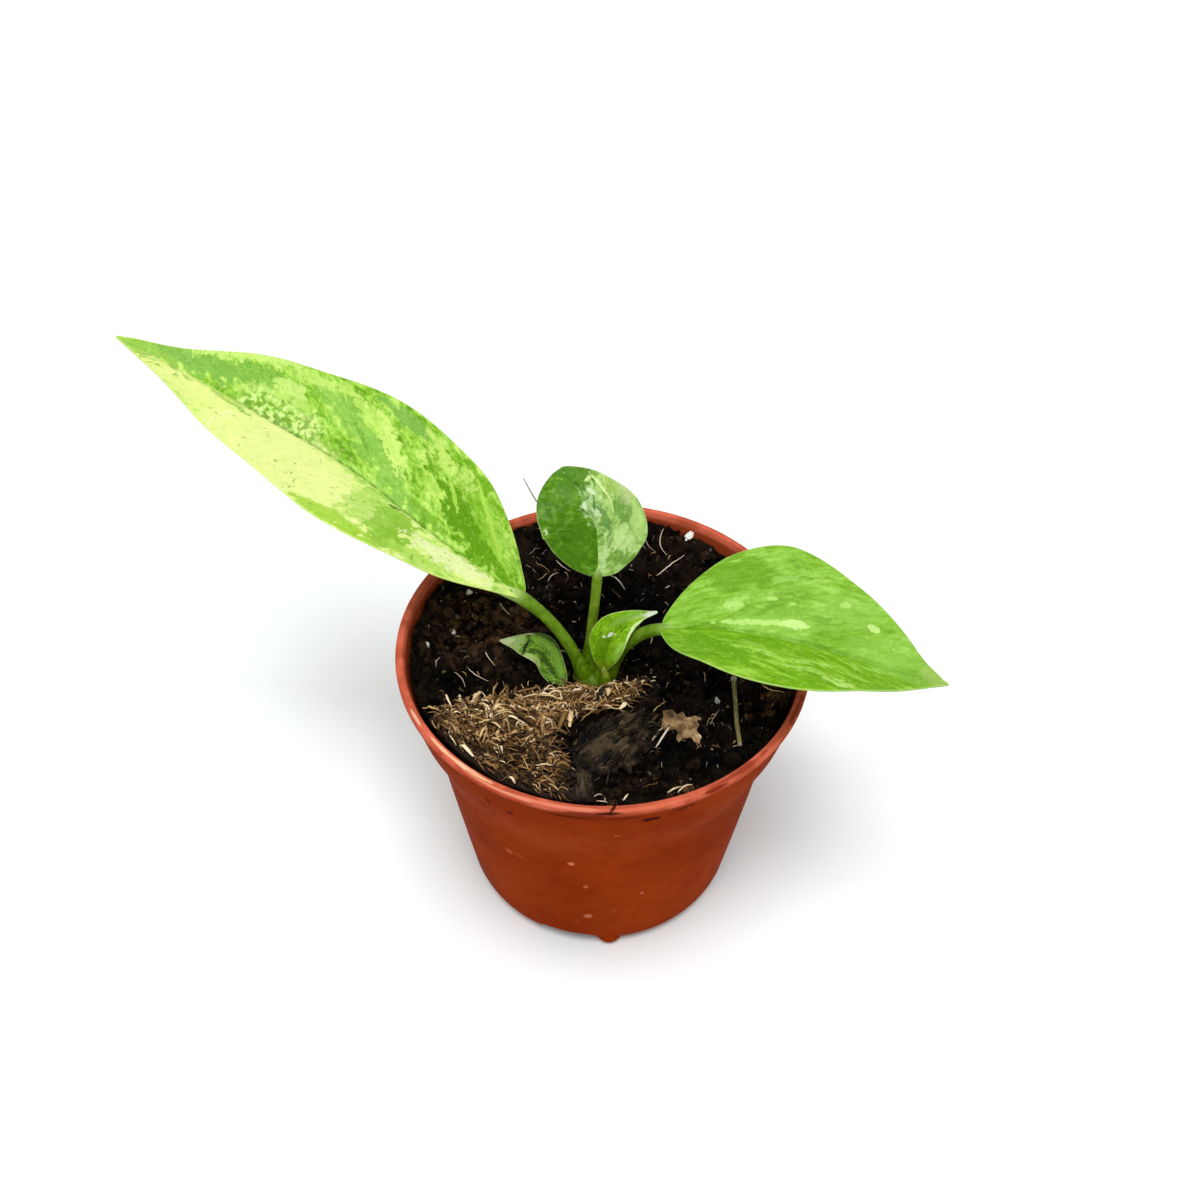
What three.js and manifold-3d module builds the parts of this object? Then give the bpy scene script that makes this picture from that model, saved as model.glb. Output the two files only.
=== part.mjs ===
// A young variegated anthurium in a small round nursery pot.
// Millimetres, +Z up. The origin lies on the pot's axis, on the surface that the pot stands on.
// The front of the pot faces -Y, and the longest leaf reaches out towards -X.

import * as THREE from 'three';
import { mergeVertices } from 'three/addons/utils/BufferGeometryUtils.js';
import Module from 'manifold-3d';

const wasm = await Module();
wasm.setup();

// Driving dimensions
const CLEARANCE = 0.3; // air left between two pieces that touch on the real object

const POT_HEIGHT = 48;
const RIM_RADIUS = 30;
const COLLAR_FOOT_RADIUS = 25.2; // outer radius where the flared collar meets the body
const COLLAR_FOOT_Z = 31;
const BASE_RADIUS = 21.2;
const WALL = 1.1;
const LIP_HEIGHT = 1.5;
const LIP_THICKNESS = 1.4;
const FLOOR_THICKNESS = 1.4;
const FOOT_HEIGHT = 1.2;
const FOOT_RADII = [1.7, 0.9]; // at the floor, at the tip
const FOOT_CIRCLE = 19.4;
const FEET = 4;
const FIRST_FOOT_ANGLE = 5; // degrees from the front towards +X
const NOTCH_SIZE = [9, 6, 2.1]; // width, depth towards the middle, height above the underside
const FIRST_NOTCH_ANGLE = -13;
const PAD_RADIUS = 3; // flat pad in the middle of the underside
const POT_SIDES = 48;

const SOIL_MIDDLE_Z = 44.4;
const SOIL_BANK = 1.5; // the compost is pushed up against the wall by this much

const CROWN_CENTRE = new THREE.Vector3(-1.5, -2.8, 43.2);
const CROWN_RADII = [3.0, 3.0, 2.6];
const ROOTS = 5;
const ROOT_RADII = [0.85, 0.45];

const BLADE_THICKNESS = 0.7;

// Small helpers
const vec = (p) => new THREE.Vector3(p[0], p[1], p[2]);
const mix = (a, b, t) => a + (b - a) * t;

// A repeatable random draw, so that every run builds the same plant
function randomDraw(seed) {
  let state = seed;
  return () => {
    state = (state * 16807) % 2147483647;
    return state / 2147483647;
  };
}

function polar(radius, degreesFromFront, z) {
  const a = THREE.MathUtils.degToRad(degreesFromFront);
  return new THREE.Vector3(radius * Math.sin(a), -radius * Math.cos(a), z);
}

// Turns any closed geometry into a solid whose faces point out
function toSolid(geometry) {
  const bare = geometry.clone();
  bare.deleteAttribute('normal');
  bare.deleteAttribute('uv');
  const merged = mergeVertices(bare, 1e-4);
  const position = merged.getAttribute('position');
  const index = merged.getIndex();
  const corners = [0, 1, 2].map(() => new THREE.Vector3());
  const triangles = [];
  let volume = 0;
  for (let i = 0; i < index.count; i += 3) {
    const ids = [index.getX(i), index.getX(i + 1), index.getX(i + 2)];
    if (new Set(ids).size < 3) continue;
    ids.forEach((id, k) => corners[k].fromBufferAttribute(position, id));
    volume += corners[0].dot(corners[1].clone().cross(corners[2]));
    triangles.push(ids);
  }
  if (volume < 0) triangles.forEach((ids) => ids.reverse());
  return new wasm.Manifold(new wasm.Mesh({
    numProp: 3,
    vertProperties: new Float32Array(position.array),
    triVerts: new Uint32Array(triangles.flat()),
  }));
}

function namedMesh(name, solid, color, roughness) {
  const built = solid.getMesh();
  const geometry = new THREE.BufferGeometry();
  geometry.setAttribute('position', new THREE.BufferAttribute(new Float32Array(built.vertProperties), 3));
  geometry.setIndex(new THREE.BufferAttribute(new Uint32Array(built.triVerts), 1));
  geometry.computeVertexNormals();
  const material = new THREE.MeshStandardMaterial({ color, roughness, metalness: 0 });
  const mesh = new THREE.Mesh(geometry, material);
  mesh.name = name;
  return mesh;
}

// A closed skin over rings that all have the same number of points, with a fan over each end
function loft(rings) {
  const sides = rings[0].length;
  const points = rings.flat();
  const triangles = [];
  for (let i = 0; i < rings.length - 1; i += 1) {
    for (let k = 0; k < sides; k += 1) {
      const a = i * sides + k;
      const b = i * sides + ((k + 1) % sides);
      triangles.push(a, b, b + sides, a, b + sides, a + sides);
    }
  }
  const last = (rings.length - 1) * sides;
  for (let k = 1; k < sides - 1; k += 1) {
    triangles.push(0, k + 1, k, last, last + k, last + k + 1);
  }
  const geometry = new THREE.BufferGeometry().setFromPoints(points);
  geometry.setIndex(triangles);
  return geometry;
}

// A round, tapering tube along a smooth curve through the points; one radius for each point
function taperedTube(points, radii, sides, steps) {
  const curve = new THREE.CatmullRomCurve3(points);
  const frames = curve.computeFrenetFrames(steps);
  const rings = [];
  for (let i = 0; i <= steps; i += 1) {
    const t = i / steps;
    const place = t * (radii.length - 1);
    const k = Math.min(Math.floor(place), radii.length - 2);
    const radius = mix(radii[k], radii[k + 1], place - k);
    const centre = curve.getPoint(t);
    rings.push(Array.from({ length: sides }, (_, s) => {
      const a = (2 * Math.PI * s) / sides;
      return centre.clone()
        .addScaledVector(frames.normals[i], radius * Math.cos(a))
        .addScaledVector(frames.binormals[i], radius * Math.sin(a));
    }));
  }
  return loft(rings);
}

// Pot: one thin moulded piece, a flared collar over a tapering body, with a rolled lip,
// feet and drainage notches at the foot, and a flat pad in the middle of the underside
function potProfile() {
  const lipFoot = POT_HEIGHT - LIP_HEIGHT;
  const under = FOOT_HEIGHT;
  const outer = [
    [0, under],
    [BASE_RADIUS - 1.8, under],
    [BASE_RADIUS - 0.6, under + 0.5],
    [BASE_RADIUS, under + 1.8],
    [COLLAR_FOOT_RADIUS - 0.5, COLLAR_FOOT_Z - 3.5],
    [COLLAR_FOOT_RADIUS, COLLAR_FOOT_Z],
    [COLLAR_FOOT_RADIUS + 1.0, COLLAR_FOOT_Z + 3.4],
    [RIM_RADIUS - 2.0, lipFoot - 7],
    [RIM_RADIUS - 0.6, lipFoot],
    [RIM_RADIUS, lipFoot + 0.3],
    [RIM_RADIUS - 0.2, POT_HEIGHT],
  ];
  const inner = [
    [RIM_RADIUS - LIP_THICKNESS + 0.2, POT_HEIGHT],
    [RIM_RADIUS - 0.6 - WALL, lipFoot - 0.6],
    [RIM_RADIUS - 2.0 - WALL, lipFoot - 7],
    [COLLAR_FOOT_RADIUS + 1.0 - WALL, COLLAR_FOOT_Z + 3.4],
    [COLLAR_FOOT_RADIUS - WALL, COLLAR_FOOT_Z],
    [COLLAR_FOOT_RADIUS - 0.5 - WALL, COLLAR_FOOT_Z - 3.5],
    [BASE_RADIUS - WALL, under + FLOOR_THICKNESS + 1],
    [BASE_RADIUS - WALL - 1, under + FLOOR_THICKNESS],
    [0, under + FLOOR_THICKNESS],
  ];
  return { outer, inner };
}

function turned(profile, segments) {
  const points = profile.map(([r, z]) => new THREE.Vector2(r, z));
  return new THREE.LatheGeometry(points, segments).rotateX(Math.PI / 2);
}

function pot() {
  const { outer, inner } = potProfile();
  let body = toSolid(turned([...outer, ...inner], POT_SIDES));
  const pad = new THREE.CylinderGeometry(PAD_RADIUS, PAD_RADIUS, FOOT_HEIGHT + 0.5, 24)
    .rotateX(Math.PI / 2)
    .translate(0, 0, (FOOT_HEIGHT + 0.5) / 2);
  body = body.add(toSolid(pad));
  for (let i = 0; i < FEET; i += 1) {
    const turn = (360 / FEET) * i;
    const height = FOOT_HEIGHT + 0.5;
    const foot = new THREE.CylinderGeometry(FOOT_RADII[0], FOOT_RADII[1], height, 12)
      .rotateX(Math.PI / 2)
      .translate(...polar(FOOT_CIRCLE, FIRST_FOOT_ANGLE + turn, height / 2));
    const [width, depth, notchHeight] = NOTCH_SIZE;
    const cutHeight = notchHeight + FOOT_HEIGHT;
    const notchAngle = FIRST_NOTCH_ANGLE + turn;
    const notch = new THREE.BoxGeometry(width, depth, cutHeight)
      .rotateZ(THREE.MathUtils.degToRad(notchAngle))
      .translate(...polar(BASE_RADIUS - 3.4 + depth / 2, notchAngle, cutHeight / 2));
    body = body.subtract(toSolid(notch)).add(toSolid(foot));
  }
  return body;
}

// Compost: fills the pot to just under the lip, lumpy on top
function soilHeight(x, y) {
  const reach = Math.hypot(x, y) / 27.5;
  const angle = Math.atan2(y, x);
  const bank = SOIL_BANK * reach ** 2 * (0.6 + 0.4 * Math.cos(3 * angle - 5.2));
  const lumps = 0.45 * Math.sin(0.42 * x + 1.1) * Math.cos(0.37 * y - 0.6)
    + 0.3 * Math.sin(0.6 * x - 0.35 * y + 2) * Math.cos(0.5 * y + 0.2 * x);
  return SOIL_MIDDLE_Z + bank + lumps;
}

function soilBlock() {
  const { inner } = potProfile();
  const wall = inner.slice(2).reverse()
    .map(([r, z]) => [Math.max(r - CLEARANCE, 0), z + (r < BASE_RADIUS ? CLEARANCE : 0)]);
  const edgeRadius = RIM_RADIUS - 0.95 - WALL - CLEARANCE;
  const rings = 8;
  const top = Array.from({ length: rings + 1 }, (_, i) => [edgeRadius * (1 - i / rings), POT_HEIGHT]);
  const geometry = turned([...wall, ...top], 40);
  const position = geometry.getAttribute('position');
  for (let i = 0; i < position.count; i += 1) {
    if (position.getZ(i) > POT_HEIGHT - 0.1) {
      position.setZ(i, soilHeight(position.getX(i), position.getY(i)));
    }
  }
  return toSolid(geometry);
}

// Leaves: each is one piece, a stalk that runs on under the blade as its midrib.
// The half-widths are measured across the blade at nine stations, close together at both ends.
const LEAVES = [
  {
    name: 'leaf_left',
    stalk: [[-2.9, -2.9, 44.4], [-3.9, -2.5, 47.5], [-5.9, -1.5, 51], [-8.6, -0.3, 54]],
    stalkRadii: [1.25, 1.15, 1.1, 1.05],
    spine: [[-11.5, 1, 56], [-23.5, 5, 63.5], [-35, 11, 70], [-51.5, 18, 76.5], [-70, 28, 80]],
    ribRadii: [1.0, 0.8, 0.65, 0.5, 0.3],
    side: [[-0.42, -0.91, 0], [-0.42, -0.91, 0]],
    leftHalf: [1.3, 3.5, 7.3, 11.2, 11.8, 8.6, 4.6, 1.8, 0.5],
    rightHalf: [2.9, 7.5, 11.9, 13.4, 12.3, 9.5, 5.6, 2.5, 0.7],
    fold: [14, 14],
    curl: -0.06,
    wave: 0.35,
    waves: 3.5,
    rows: 24,
    columns: 4,
    color: 0xa9cf5a,
  },
  {
    name: 'leaf_right',
    stalk: [[0.1, -2.9, 44.4], [0.4, -2.8, 45.5], [1.7, -2.9, 48.5], [3.7, -3.3, 51.8], [6, -3.9, 54.6]],
    stalkRadii: [1.05, 1.0, 0.95, 0.9, 0.9],
    spine: [[8, -4.5, 56], [15.5, -7, 58.5], [25, -10, 59.5], [36, -11.5, 57], [47.5, -10.5, 52]],
    ribRadii: [0.85, 0.7, 0.6, 0.5, 0.3],
    side: [[0.15, 1, 0.05], [0.15, 1, 0.05]],
    leftHalf: [3.0, 7.5, 12.0, 13.9, 13.2, 10.6, 6.8, 3.0, 0.8],
    rightHalf: [2.2, 5.5, 8.6, 10.8, 10.6, 7.3, 4.0, 1.9, 0.6],
    fold: [22, 22],
    curl: -0.06,
    wave: 0.3,
    waves: 2.5,
    rows: 18,
    columns: 4,
    color: 0x86b83c,
  },
  {
    name: 'leaf_back',
    stalk: [[-1.6, -0.6, 44.5], [-1.9, -1.2, 47.5], [-1.7, -0.8, 52], [-1.3, 0.6, 56]],
    stalkRadii: [0.9, 0.85, 0.8, 0.8],
    spine: [[-1, 2.5, 59], [-1, 4.5, 62.5], [-1.5, 6.5, 66], [-3.5, 8.5, 69], [-6.5, 12, 70.5]],
    ribRadii: [0.75, 0.6, 0.5, 0.4, 0.3],
    side: [[-1, -0.1, 0.1], [-0.85, -0.4, -0.5]],
    leftHalf: [1.8, 4.2, 6.0, 7.3, 7.7, 7.4, 6.6, 5.0, 2.6],
    rightHalf: [2.3, 3.8, 5.6, 6.9, 6.6, 5.0, 3.3, 1.9, 0.8],
    fold: [12, 12],
    curl: -0.05,
    wave: 0.2,
    waves: 2,
    rows: 14,
    columns: 3,
    color: 0x6fa23a,
  },
  {
    name: 'leaf_small',
    stalk: [[0.8, -5, 44.3], [0.5, -5, 46]],
    stalkRadii: [0.65, 0.6],
    spine: [[0.2, -4.7, 47.3], [0.5, -3.9, 50.5], [1.5, -3, 53], [4.5, -2, 55], [7.5, 0, 54.5]],
    ribRadii: [0.5, 0.4, 0.35, 0.3, 0.3],
    side: [[-0.7, 0.3, 0.2], [-0.3, 0.7, 0.4]],
    leftHalf: [0.5, 0.9, 1.6, 2.7, 2.8, 2.0, 1.1, 0.5, 0.3],
    rightHalf: [0.4, 1.0, 1.9, 2.8, 2.7, 1.5, 0.6, 0.4, 0.3],
    fold: [30, 26],
    curl: -0.05,
    wave: 0,
    waves: 1,
    rows: 12,
    columns: 3,
    color: 0x8fc24a,
  },
  {
    name: 'leaf_curled',
    stalk: [[-5.2, -7, 41]],
    stalkRadii: [0.6],
    spine: [[-5.8, -6.2, 45.2], [-6.8, -3.9, 46.5], [-8.4, -2, 48.2], [-11.4, -0.9, 48.8], [-15, 0.4, 47.6]],
    ribRadii: [0.6, 0.5, 0.45, 0.4, 0.3],
    side: [[-1, -0.2, 0], [-0.3, -0.9, 0.1]],
    leftHalf: [0.9, 1.6, 2.1, 2.1, 2.3, 2.4, 1.6, 1.0, 0.6],
    rightHalf: [0.4, 0.6, 0.9, 1.4, 2.3, 2.0, 1.2, 0.8, 0.5],
    fold: [5, 5],
    curl: -0.15,
    wave: 0.15,
    waves: 2,
    rows: 12,
    columns: 3,
    color: 0x5f8f3a,
  },
];

// Half-width at a station 0 to 1, smooth through the measured ones and zero at both ends
function halfWidth(measured, station) {
  const widths = [0, ...measured, 0];
  const last = widths.length - 1;
  const at = (k) => (k < 0 ? -widths[-k] : k > last ? -widths[2 * last - k] : widths[k]);
  const place = station * last;
  const i = Math.min(Math.floor(place), last - 1);
  const f = place - i;
  const [a, b, c, d] = [at(i - 1), at(i), at(i + 1), at(i + 2)];
  const slope = c - a;
  const bend = 2 * a - 5 * b + 4 * c - d;
  const twist = 3 * b - a - 3 * c + d;
  return Math.max(0.5 * (2 * b + slope * f + bend * f * f + twist * f ** 3), 0);
}

// The blade's middle surface: station runs from stalk to tip, across from -1 to 1 edge to edge
function bladePoint(leaf, curve, station, across) {
  const along = (1 - Math.cos(Math.PI * station)) / 2;
  const centre = curve.getPointAt(along);
  const tangent = curve.getTangentAt(along);
  const side = vec(leaf.side[0]).lerp(vec(leaf.side[1]), along);
  side.addScaledVector(tangent, -side.dot(tangent)).normalize();
  const up = tangent.clone().cross(side);
  const fold = THREE.MathUtils.degToRad(mix(leaf.fold[0], leaf.fold[1], along));
  const width = halfWidth(across > 0 ? leaf.leftHalf : leaf.rightHalf, station) + 0.15;
  const out = Math.abs(across) * width;
  const ripple = leaf.wave * Math.sin(2 * Math.PI * leaf.waves * along + 2 * across) * across * across;
  const rise = Math.sin(fold) * out + leaf.curl * width * across * across
    + ripple * Math.min(1, width / 4);
  const point = centre.addScaledVector(side, Math.sign(across) * Math.cos(fold) * out)
    .addScaledVector(up, rise);
  return { point, up };
}

// Both faces are split into triangles in the same way, so a thin waved blade never crosses itself
function bladeGeometry(leaf, curve) {
  const columns = 2 * leaf.columns;
  const upper = [];
  const lower = [];
  for (let i = 0; i <= leaf.rows; i += 1) {
    for (let k = 0; k <= columns; k += 1) {
      const { point, up } = bladePoint(leaf, curve, i / leaf.rows, k / leaf.columns - 1);
      upper.push(point.clone().addScaledVector(up, BLADE_THICKNESS / 2));
      lower.push(point.clone().addScaledVector(up, -BLADE_THICKNESS / 2));
    }
  }
  const half = upper.length;
  const row = columns + 1;
  const triangles = [];
  for (let i = 0; i < leaf.rows; i += 1) {
    for (let k = 0; k < columns; k += 1) {
      const a = i * row + k;
      triangles.push(a, a + 1, a + row + 1, a, a + row + 1, a + row);
      triangles.push(a + half, a + row + 1 + half, a + 1 + half);
      triangles.push(a + half, a + row + half, a + row + 1 + half);
    }
    for (const k of [0, columns]) {
      const a = i * row + k;
      const wall = [a, a + row, a + row + half, a, a + row + half, a + half];
      triangles.push(...(k === 0 ? wall : wall.reverse()));
    }
  }
  for (const i of [0, leaf.rows]) {
    for (let k = 0; k < columns; k += 1) {
      const a = i * row + k;
      const wall = [a, a + half, a + 1 + half, a, a + 1 + half, a + 1];
      triangles.push(...(i === 0 ? wall : wall.reverse()));
    }
  }
  const geometry = new THREE.BufferGeometry().setFromPoints([...upper, ...lower]);
  geometry.setIndex(triangles);
  return geometry;
}

function stalkAndRib(leaf, grow) {
  const sunk = leaf.spine.map((p) => vec(p).add(new THREE.Vector3(0, 0, -0.25)));
  const points = [...leaf.stalk.map(vec), ...sunk];
  points[0].addScaledVector(points[1].clone().sub(points[0]).normalize(), -grow);
  points[points.length - 1].lerp(points[points.length - 2], 0.3);
  const radii = [...leaf.stalkRadii, ...leaf.ribRadii].map((r) => r + grow);
  return toSolid(taperedTube(points, radii, 7, 2 * points.length));
}

function leafSolid(leaf) {
  const curve = new THREE.CatmullRomCurve3(leaf.spine.map(vec));
  return toSolid(bladeGeometry(leaf, curve)).add(stalkAndRib(leaf, 0));
}

// Crown: the short stem that the leaf stalks grow from, with its thick roots down in the compost
function crownSolid(grow) {
  const [rx, ry, rz] = CROWN_RADII.map((r) => r + grow);
  const dome = new THREE.SphereGeometry(1, 14, 8).scale(rx, ry, rz)
    .translate(...CROWN_CENTRE);
  const stemTop = CROWN_CENTRE.clone();
  const stemFoot = stemTop.clone().add(new THREE.Vector3(0.3, 0.2, -9 - grow));
  let crown = toSolid(dome)
    .add(toSolid(taperedTube([stemTop, stemFoot], [2.4 + grow, 1.5 + grow], 10, 2)));
  for (let i = 0; i < ROOTS; i += 1) {
    const angle = (360 / ROOTS) * i + 20;
    const start = CROWN_CENTRE.clone().add(polar(0.8, angle, -2 - 1.1 * i));
    const drop = 9 + 3 * ((i * 2) % 5);
    const points = [
      start,
      start.clone().add(polar(4.5, angle + 6, -0.3 * drop)),
      start.clone().add(polar(8.5, angle - 8, -0.65 * drop)),
      start.clone().add(polar(10.5 + (grow > 0 ? grow : 0), angle + 10, -drop - grow)),
    ];
    const radii = [ROOT_RADII[0], ROOT_RADII[0], ROOT_RADII[1], ROOT_RADII[1]].map((r) => r + grow);
    crown = crown.add(toSolid(taperedTube(points, radii, 5, 6)));
  }
  return crown;
}

// A low mound that lies on the compost: its edge is a closed curve through the outline points,
// and its top is a dome with lumps
function mound({ outline, middle, thickness, lumps, rings, segments }) {
  const edge = new THREE.CatmullRomCurve3(outline.map(([x, y]) => new THREE.Vector3(x, y, 0)), true);
  const centre = new THREE.Vector3(middle[0], middle[1], 0);
  const edgePoints = edge.getPoints(segments).slice(0, segments);
  const heightAt = (p, f) => soilHeight(p.x, p.y) + CLEARANCE + 0.3
    + thickness * Math.sqrt(1 - f * f) * (1 + lumps * Math.sin(1.7 * p.x + 0.6) * Math.cos(1.9 * p.y));
  const ringAt = (f, top) => edgePoints.map((e) => {
    const p = centre.clone().lerp(e, f);
    return p.setZ(top ? heightAt(p, f) : soilHeight(p.x, p.y) + CLEARANCE);
  });
  const fractions = Array.from({ length: rings }, (_, i) => (i + 1) / rings);
  const skin = [
    ...[0.02, ...fractions].map((f) => ringAt(f, false)),
    ...[...fractions].reverse().concat(0.02).map((f) => ringAt(f, true)),
  ];
  return toSolid(loft(skin));
}

// Tuft of tan fibres: a mat with loose ends that stand out of it, all one tangled piece
const TUFT = {
  outline: [
    [-23.4, -13.2], [-19.6, -11.2], [-17, -9.4], [-12, -10], [-8, -8.4], [-3, -7.4], [2, -6.3],
    [4.4, -6.2], [2, -8.3], [-2, -10.8], [-5, -12.8], [-5, -18], [-5.6, -24.2], [-11.5, -23.4],
    [-15, -21.4], [-18.6, -18.6], [-21.6, -15.8],
  ],
  middle: [-10.5, -13.2],
  thickness: 1.4,
  lumps: 0.25,
  rings: 3,
  segments: 34,
};
const TUFT_FIBRES = 52;
// No loose end reaches into these circles: the crown, two leaf feet and the dark chunk
const KEEP_CLEAR = [[-1.5, -2.8, 3.8], [0.5, -5.2, 1.6], [-6.2, -5.4, 1.8], [1.8, -16.4, 6.9]];
const TUFT_REACH = 26.4;

function fibreFits(points) {
  return points.every((p) => p.length() < TUFT_REACH
    && KEEP_CLEAR.every(([x, y, reach]) => Math.hypot(p.x - x, p.y - y) > reach));
}

function tuftSolid() {
  const draw = randomDraw(19);
  let tuft = mound(TUFT);
  const corners = TUFT.outline.map(([x, y]) => new THREE.Vector3(x, y, 0));
  const middle = new THREE.Vector3(TUFT.middle[0], TUFT.middle[1], 0);
  for (let i = 0; i < TUFT_FIBRES; i += 1) {
    const k = Math.floor(draw() * corners.length);
    const edge = corners[k].clone().lerp(corners[(k + 1) % corners.length], draw());
    const root = middle.clone().lerp(edge, 0.3 + 0.6 * Math.sqrt(draw()));
    const heading = draw() * 2 * Math.PI;
    const length = 3 + 3 * draw();
    const lift = 0.5 + 1.1 * draw();
    const run = new THREE.Vector3(Math.cos(heading), Math.sin(heading), 0);
    const points = [0, 0.25, 0.5, 0.75, 1].map((t) => root.clone().addScaledVector(run, length * t));
    if (!fibreFits(points)) continue;
    points.forEach((p, n) => {
      const arch = n === 0 ? 0.1 : lift * [0, 0.9, 1.3, 1.2, 0.9][n];
      p.setZ(soilHeight(p.x, p.y) + CLEARANCE + 0.5 + arch);
    });
    tuft = tuft.add(toSolid(taperedTube(points, [0.36, 0.32, 0.2], 3, 3)));
  }
  return largestPiece(tuft);
}

// Keeps the main body where a loose scrap came off it
function largestPiece(solid) {
  return solid.decompose().reduce((a, b) => (b.volume() > a.volume() ? b : a));
}

// Dark chunk of potting plug beside the tuft
const CHUNK = {
  outline: [
    [-3.2, -14], [0, -11.6], [4, -11.4], [7.2, -13], [6.8, -16.5], [5.2, -19.4], [1.4, -21.6],
    [-3, -21.4], [-3.9, -17.6],
  ],
  middle: [1.4, -16.2],
  thickness: 1.8,
  lumps: 0.2,
  rings: 4,
  segments: 24,
};

// Scrap of dry leaf with a ragged outline
const FLAKE = {
  outline: [
    [8.6, -10], [11.4, -10.6], [14, -10.4], [13.3, -12.4], [14.3, -15.2], [12.2, -14.4],
    [10.5, -13.6], [9.9, -12.4], [8.3, -12],
  ],
  middle: [11.4, -12],
  thickness: 0.5,
  lumps: 0.3,
  rings: 2,
  segments: 26,
};

// Dry grass straw lying towards the front, with a small knot at its far end
function strawSolid() {
  const radius = 0.38;
  const places = [[19.1, -5], [19.5, -8.6], [19.1, -12.6], [19.5, -17]];
  const points = places.map(([x, y]) => new THREE.Vector3(x, y, soilHeight(x, y) + CLEARANCE + radius));
  const knot = new THREE.SphereGeometry(0.6, 8, 6)
    .translate(points[0].x, points[0].y, points[0].z + 0.25);
  return toSolid(taperedTube(points, [radius, radius, radius, radius], 7, 12)).add(toSolid(knot));
}

// White perlite grains: small faceted stones resting on the compost
const GRAINS = [[12.6, 23.4, 0.85], [-20.4, 11.8, 0.7], [-22.2, 4.2, 0.65], [16.4, -7.6, 0.6], [-24.9, 0.6, 0.6]];

function grainSolid([x, y, radius]) {
  const grain = new THREE.IcosahedronGeometry(radius, 0)
    .scale(1.1, 0.9, 0.85)
    .rotateZ(x)
    .translate(x, y, soilHeight(x, y) + CLEARANCE + 0.85 * radius);
  return toSolid(grain);
}

// Assembly
const plant = new THREE.Group();
plant.add(namedMesh('pot', pot(), 0x8c4018, 0.5));

let compost = soilBlock().subtract(crownSolid(CLEARANCE));
let crown = crownSolid(0);
for (const leaf of LEAVES) {
  const socket = stalkAndRib(leaf, CLEARANCE);
  crown = crown.subtract(socket);
  compost = compost.subtract(socket);
  plant.add(namedMesh(leaf.name, leafSolid(leaf), leaf.color, 0.45));
}
plant.add(namedMesh('crown_and_roots', largestPiece(crown), 0x6f9a3a, 0.5));
plant.add(namedMesh('compost', largestPiece(compost), 0x1b120c, 0.95));

plant.add(namedMesh('fibre_tuft', tuftSolid(), 0xb08d5a, 0.85));
plant.add(namedMesh('plug_chunk', mound(CHUNK), 0x35281e, 0.9));
plant.add(namedMesh('dry_leaf_scrap', mound(FLAKE), 0x8c7450, 0.85));
plant.add(namedMesh('straw', strawSolid(), 0x7d7448, 0.8));
GRAINS.forEach((grain, i) => {
  plant.add(namedMesh(`perlite_${i + 1}`, grainSolid(grain), 0xe8e6e0, 0.9));
});

export default plant;
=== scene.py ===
# %% [markdown]
# # A small variegated anthurium in its nursery pot
#
# The real object is a young leathery-leaved plant in a thin moulded pot. The lesson builds it
# piece by piece around a packed model that gives every place and size. Each finish is made from
# shader nodes and each shape from points and faces that are worked out in Python.

# %% Frame
import math

import bmesh
import bpy
import numpy as np
from mathutils import Matrix, Vector, noise


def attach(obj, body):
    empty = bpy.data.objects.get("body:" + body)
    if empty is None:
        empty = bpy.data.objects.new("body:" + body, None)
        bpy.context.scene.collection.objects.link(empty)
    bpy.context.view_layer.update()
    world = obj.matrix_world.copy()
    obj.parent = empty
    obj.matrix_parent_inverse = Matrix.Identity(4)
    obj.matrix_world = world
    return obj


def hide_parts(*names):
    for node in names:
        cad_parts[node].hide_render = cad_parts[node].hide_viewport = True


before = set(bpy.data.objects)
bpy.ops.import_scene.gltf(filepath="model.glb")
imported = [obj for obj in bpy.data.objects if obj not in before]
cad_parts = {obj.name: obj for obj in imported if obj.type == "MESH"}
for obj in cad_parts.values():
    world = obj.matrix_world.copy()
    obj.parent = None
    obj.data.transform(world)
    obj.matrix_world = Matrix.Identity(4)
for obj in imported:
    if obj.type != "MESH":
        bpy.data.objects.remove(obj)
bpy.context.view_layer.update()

# %% [markdown]
# ## Camera
#
# The photograph looks down at the pot at about 46 degrees, from twenty centimetres away, and is
# turned by one degree. A camera could be aimed with a constraint, but writing its three axes
# straight into the matrix keeps the small roll exact.

# %% Camera
MM = 0.001
CAMERA_AT = (-0.59, -140.57, 201.8)
SENSOR_WIDTH, FOCAL_LENGTH = 36, 43.2
LOOK_DOWN = math.radians(45.9)
ROLL = math.radians(0.95)


def set_camera():
    """A camera whose axes are worked out from its tilt and roll."""
    data = bpy.data.cameras.new("camera")
    data.sensor_width = SENSOR_WIDTH
    data.lens = FOCAL_LENGTH
    data.clip_start = 0.01
    camera = bpy.data.objects.new("camera", data)
    bpy.context.scene.collection.objects.link(camera)
    back = Vector((0, -math.cos(LOOK_DOWN), math.sin(LOOK_DOWN)))
    level = Vector((1, 0, 0))
    rise = back.cross(level)
    right = level * math.cos(ROLL) + rise * math.sin(ROLL)
    up = back.cross(right)
    axes = Matrix((right, up, back)).transposed().to_4x4()
    camera.matrix_world = Matrix.Translation(Vector(CAMERA_AT) * MM) @ axes
    bpy.context.scene.camera = camera
    return camera


print("camera at", tuple(round(v, 3) for v in set_camera().location))

# %% [markdown]
# ## Shader maths
#
# A finish is easier to read as sums than as a list of links. This class wraps one output of a
# node, so that `streak * 0.5 + 0.2` adds the two Math nodes by itself. Colours never go through
# a Math node, which would turn them grey: they are mixed with `blend`.

# %% Sockets that can be added and multiplied


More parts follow.
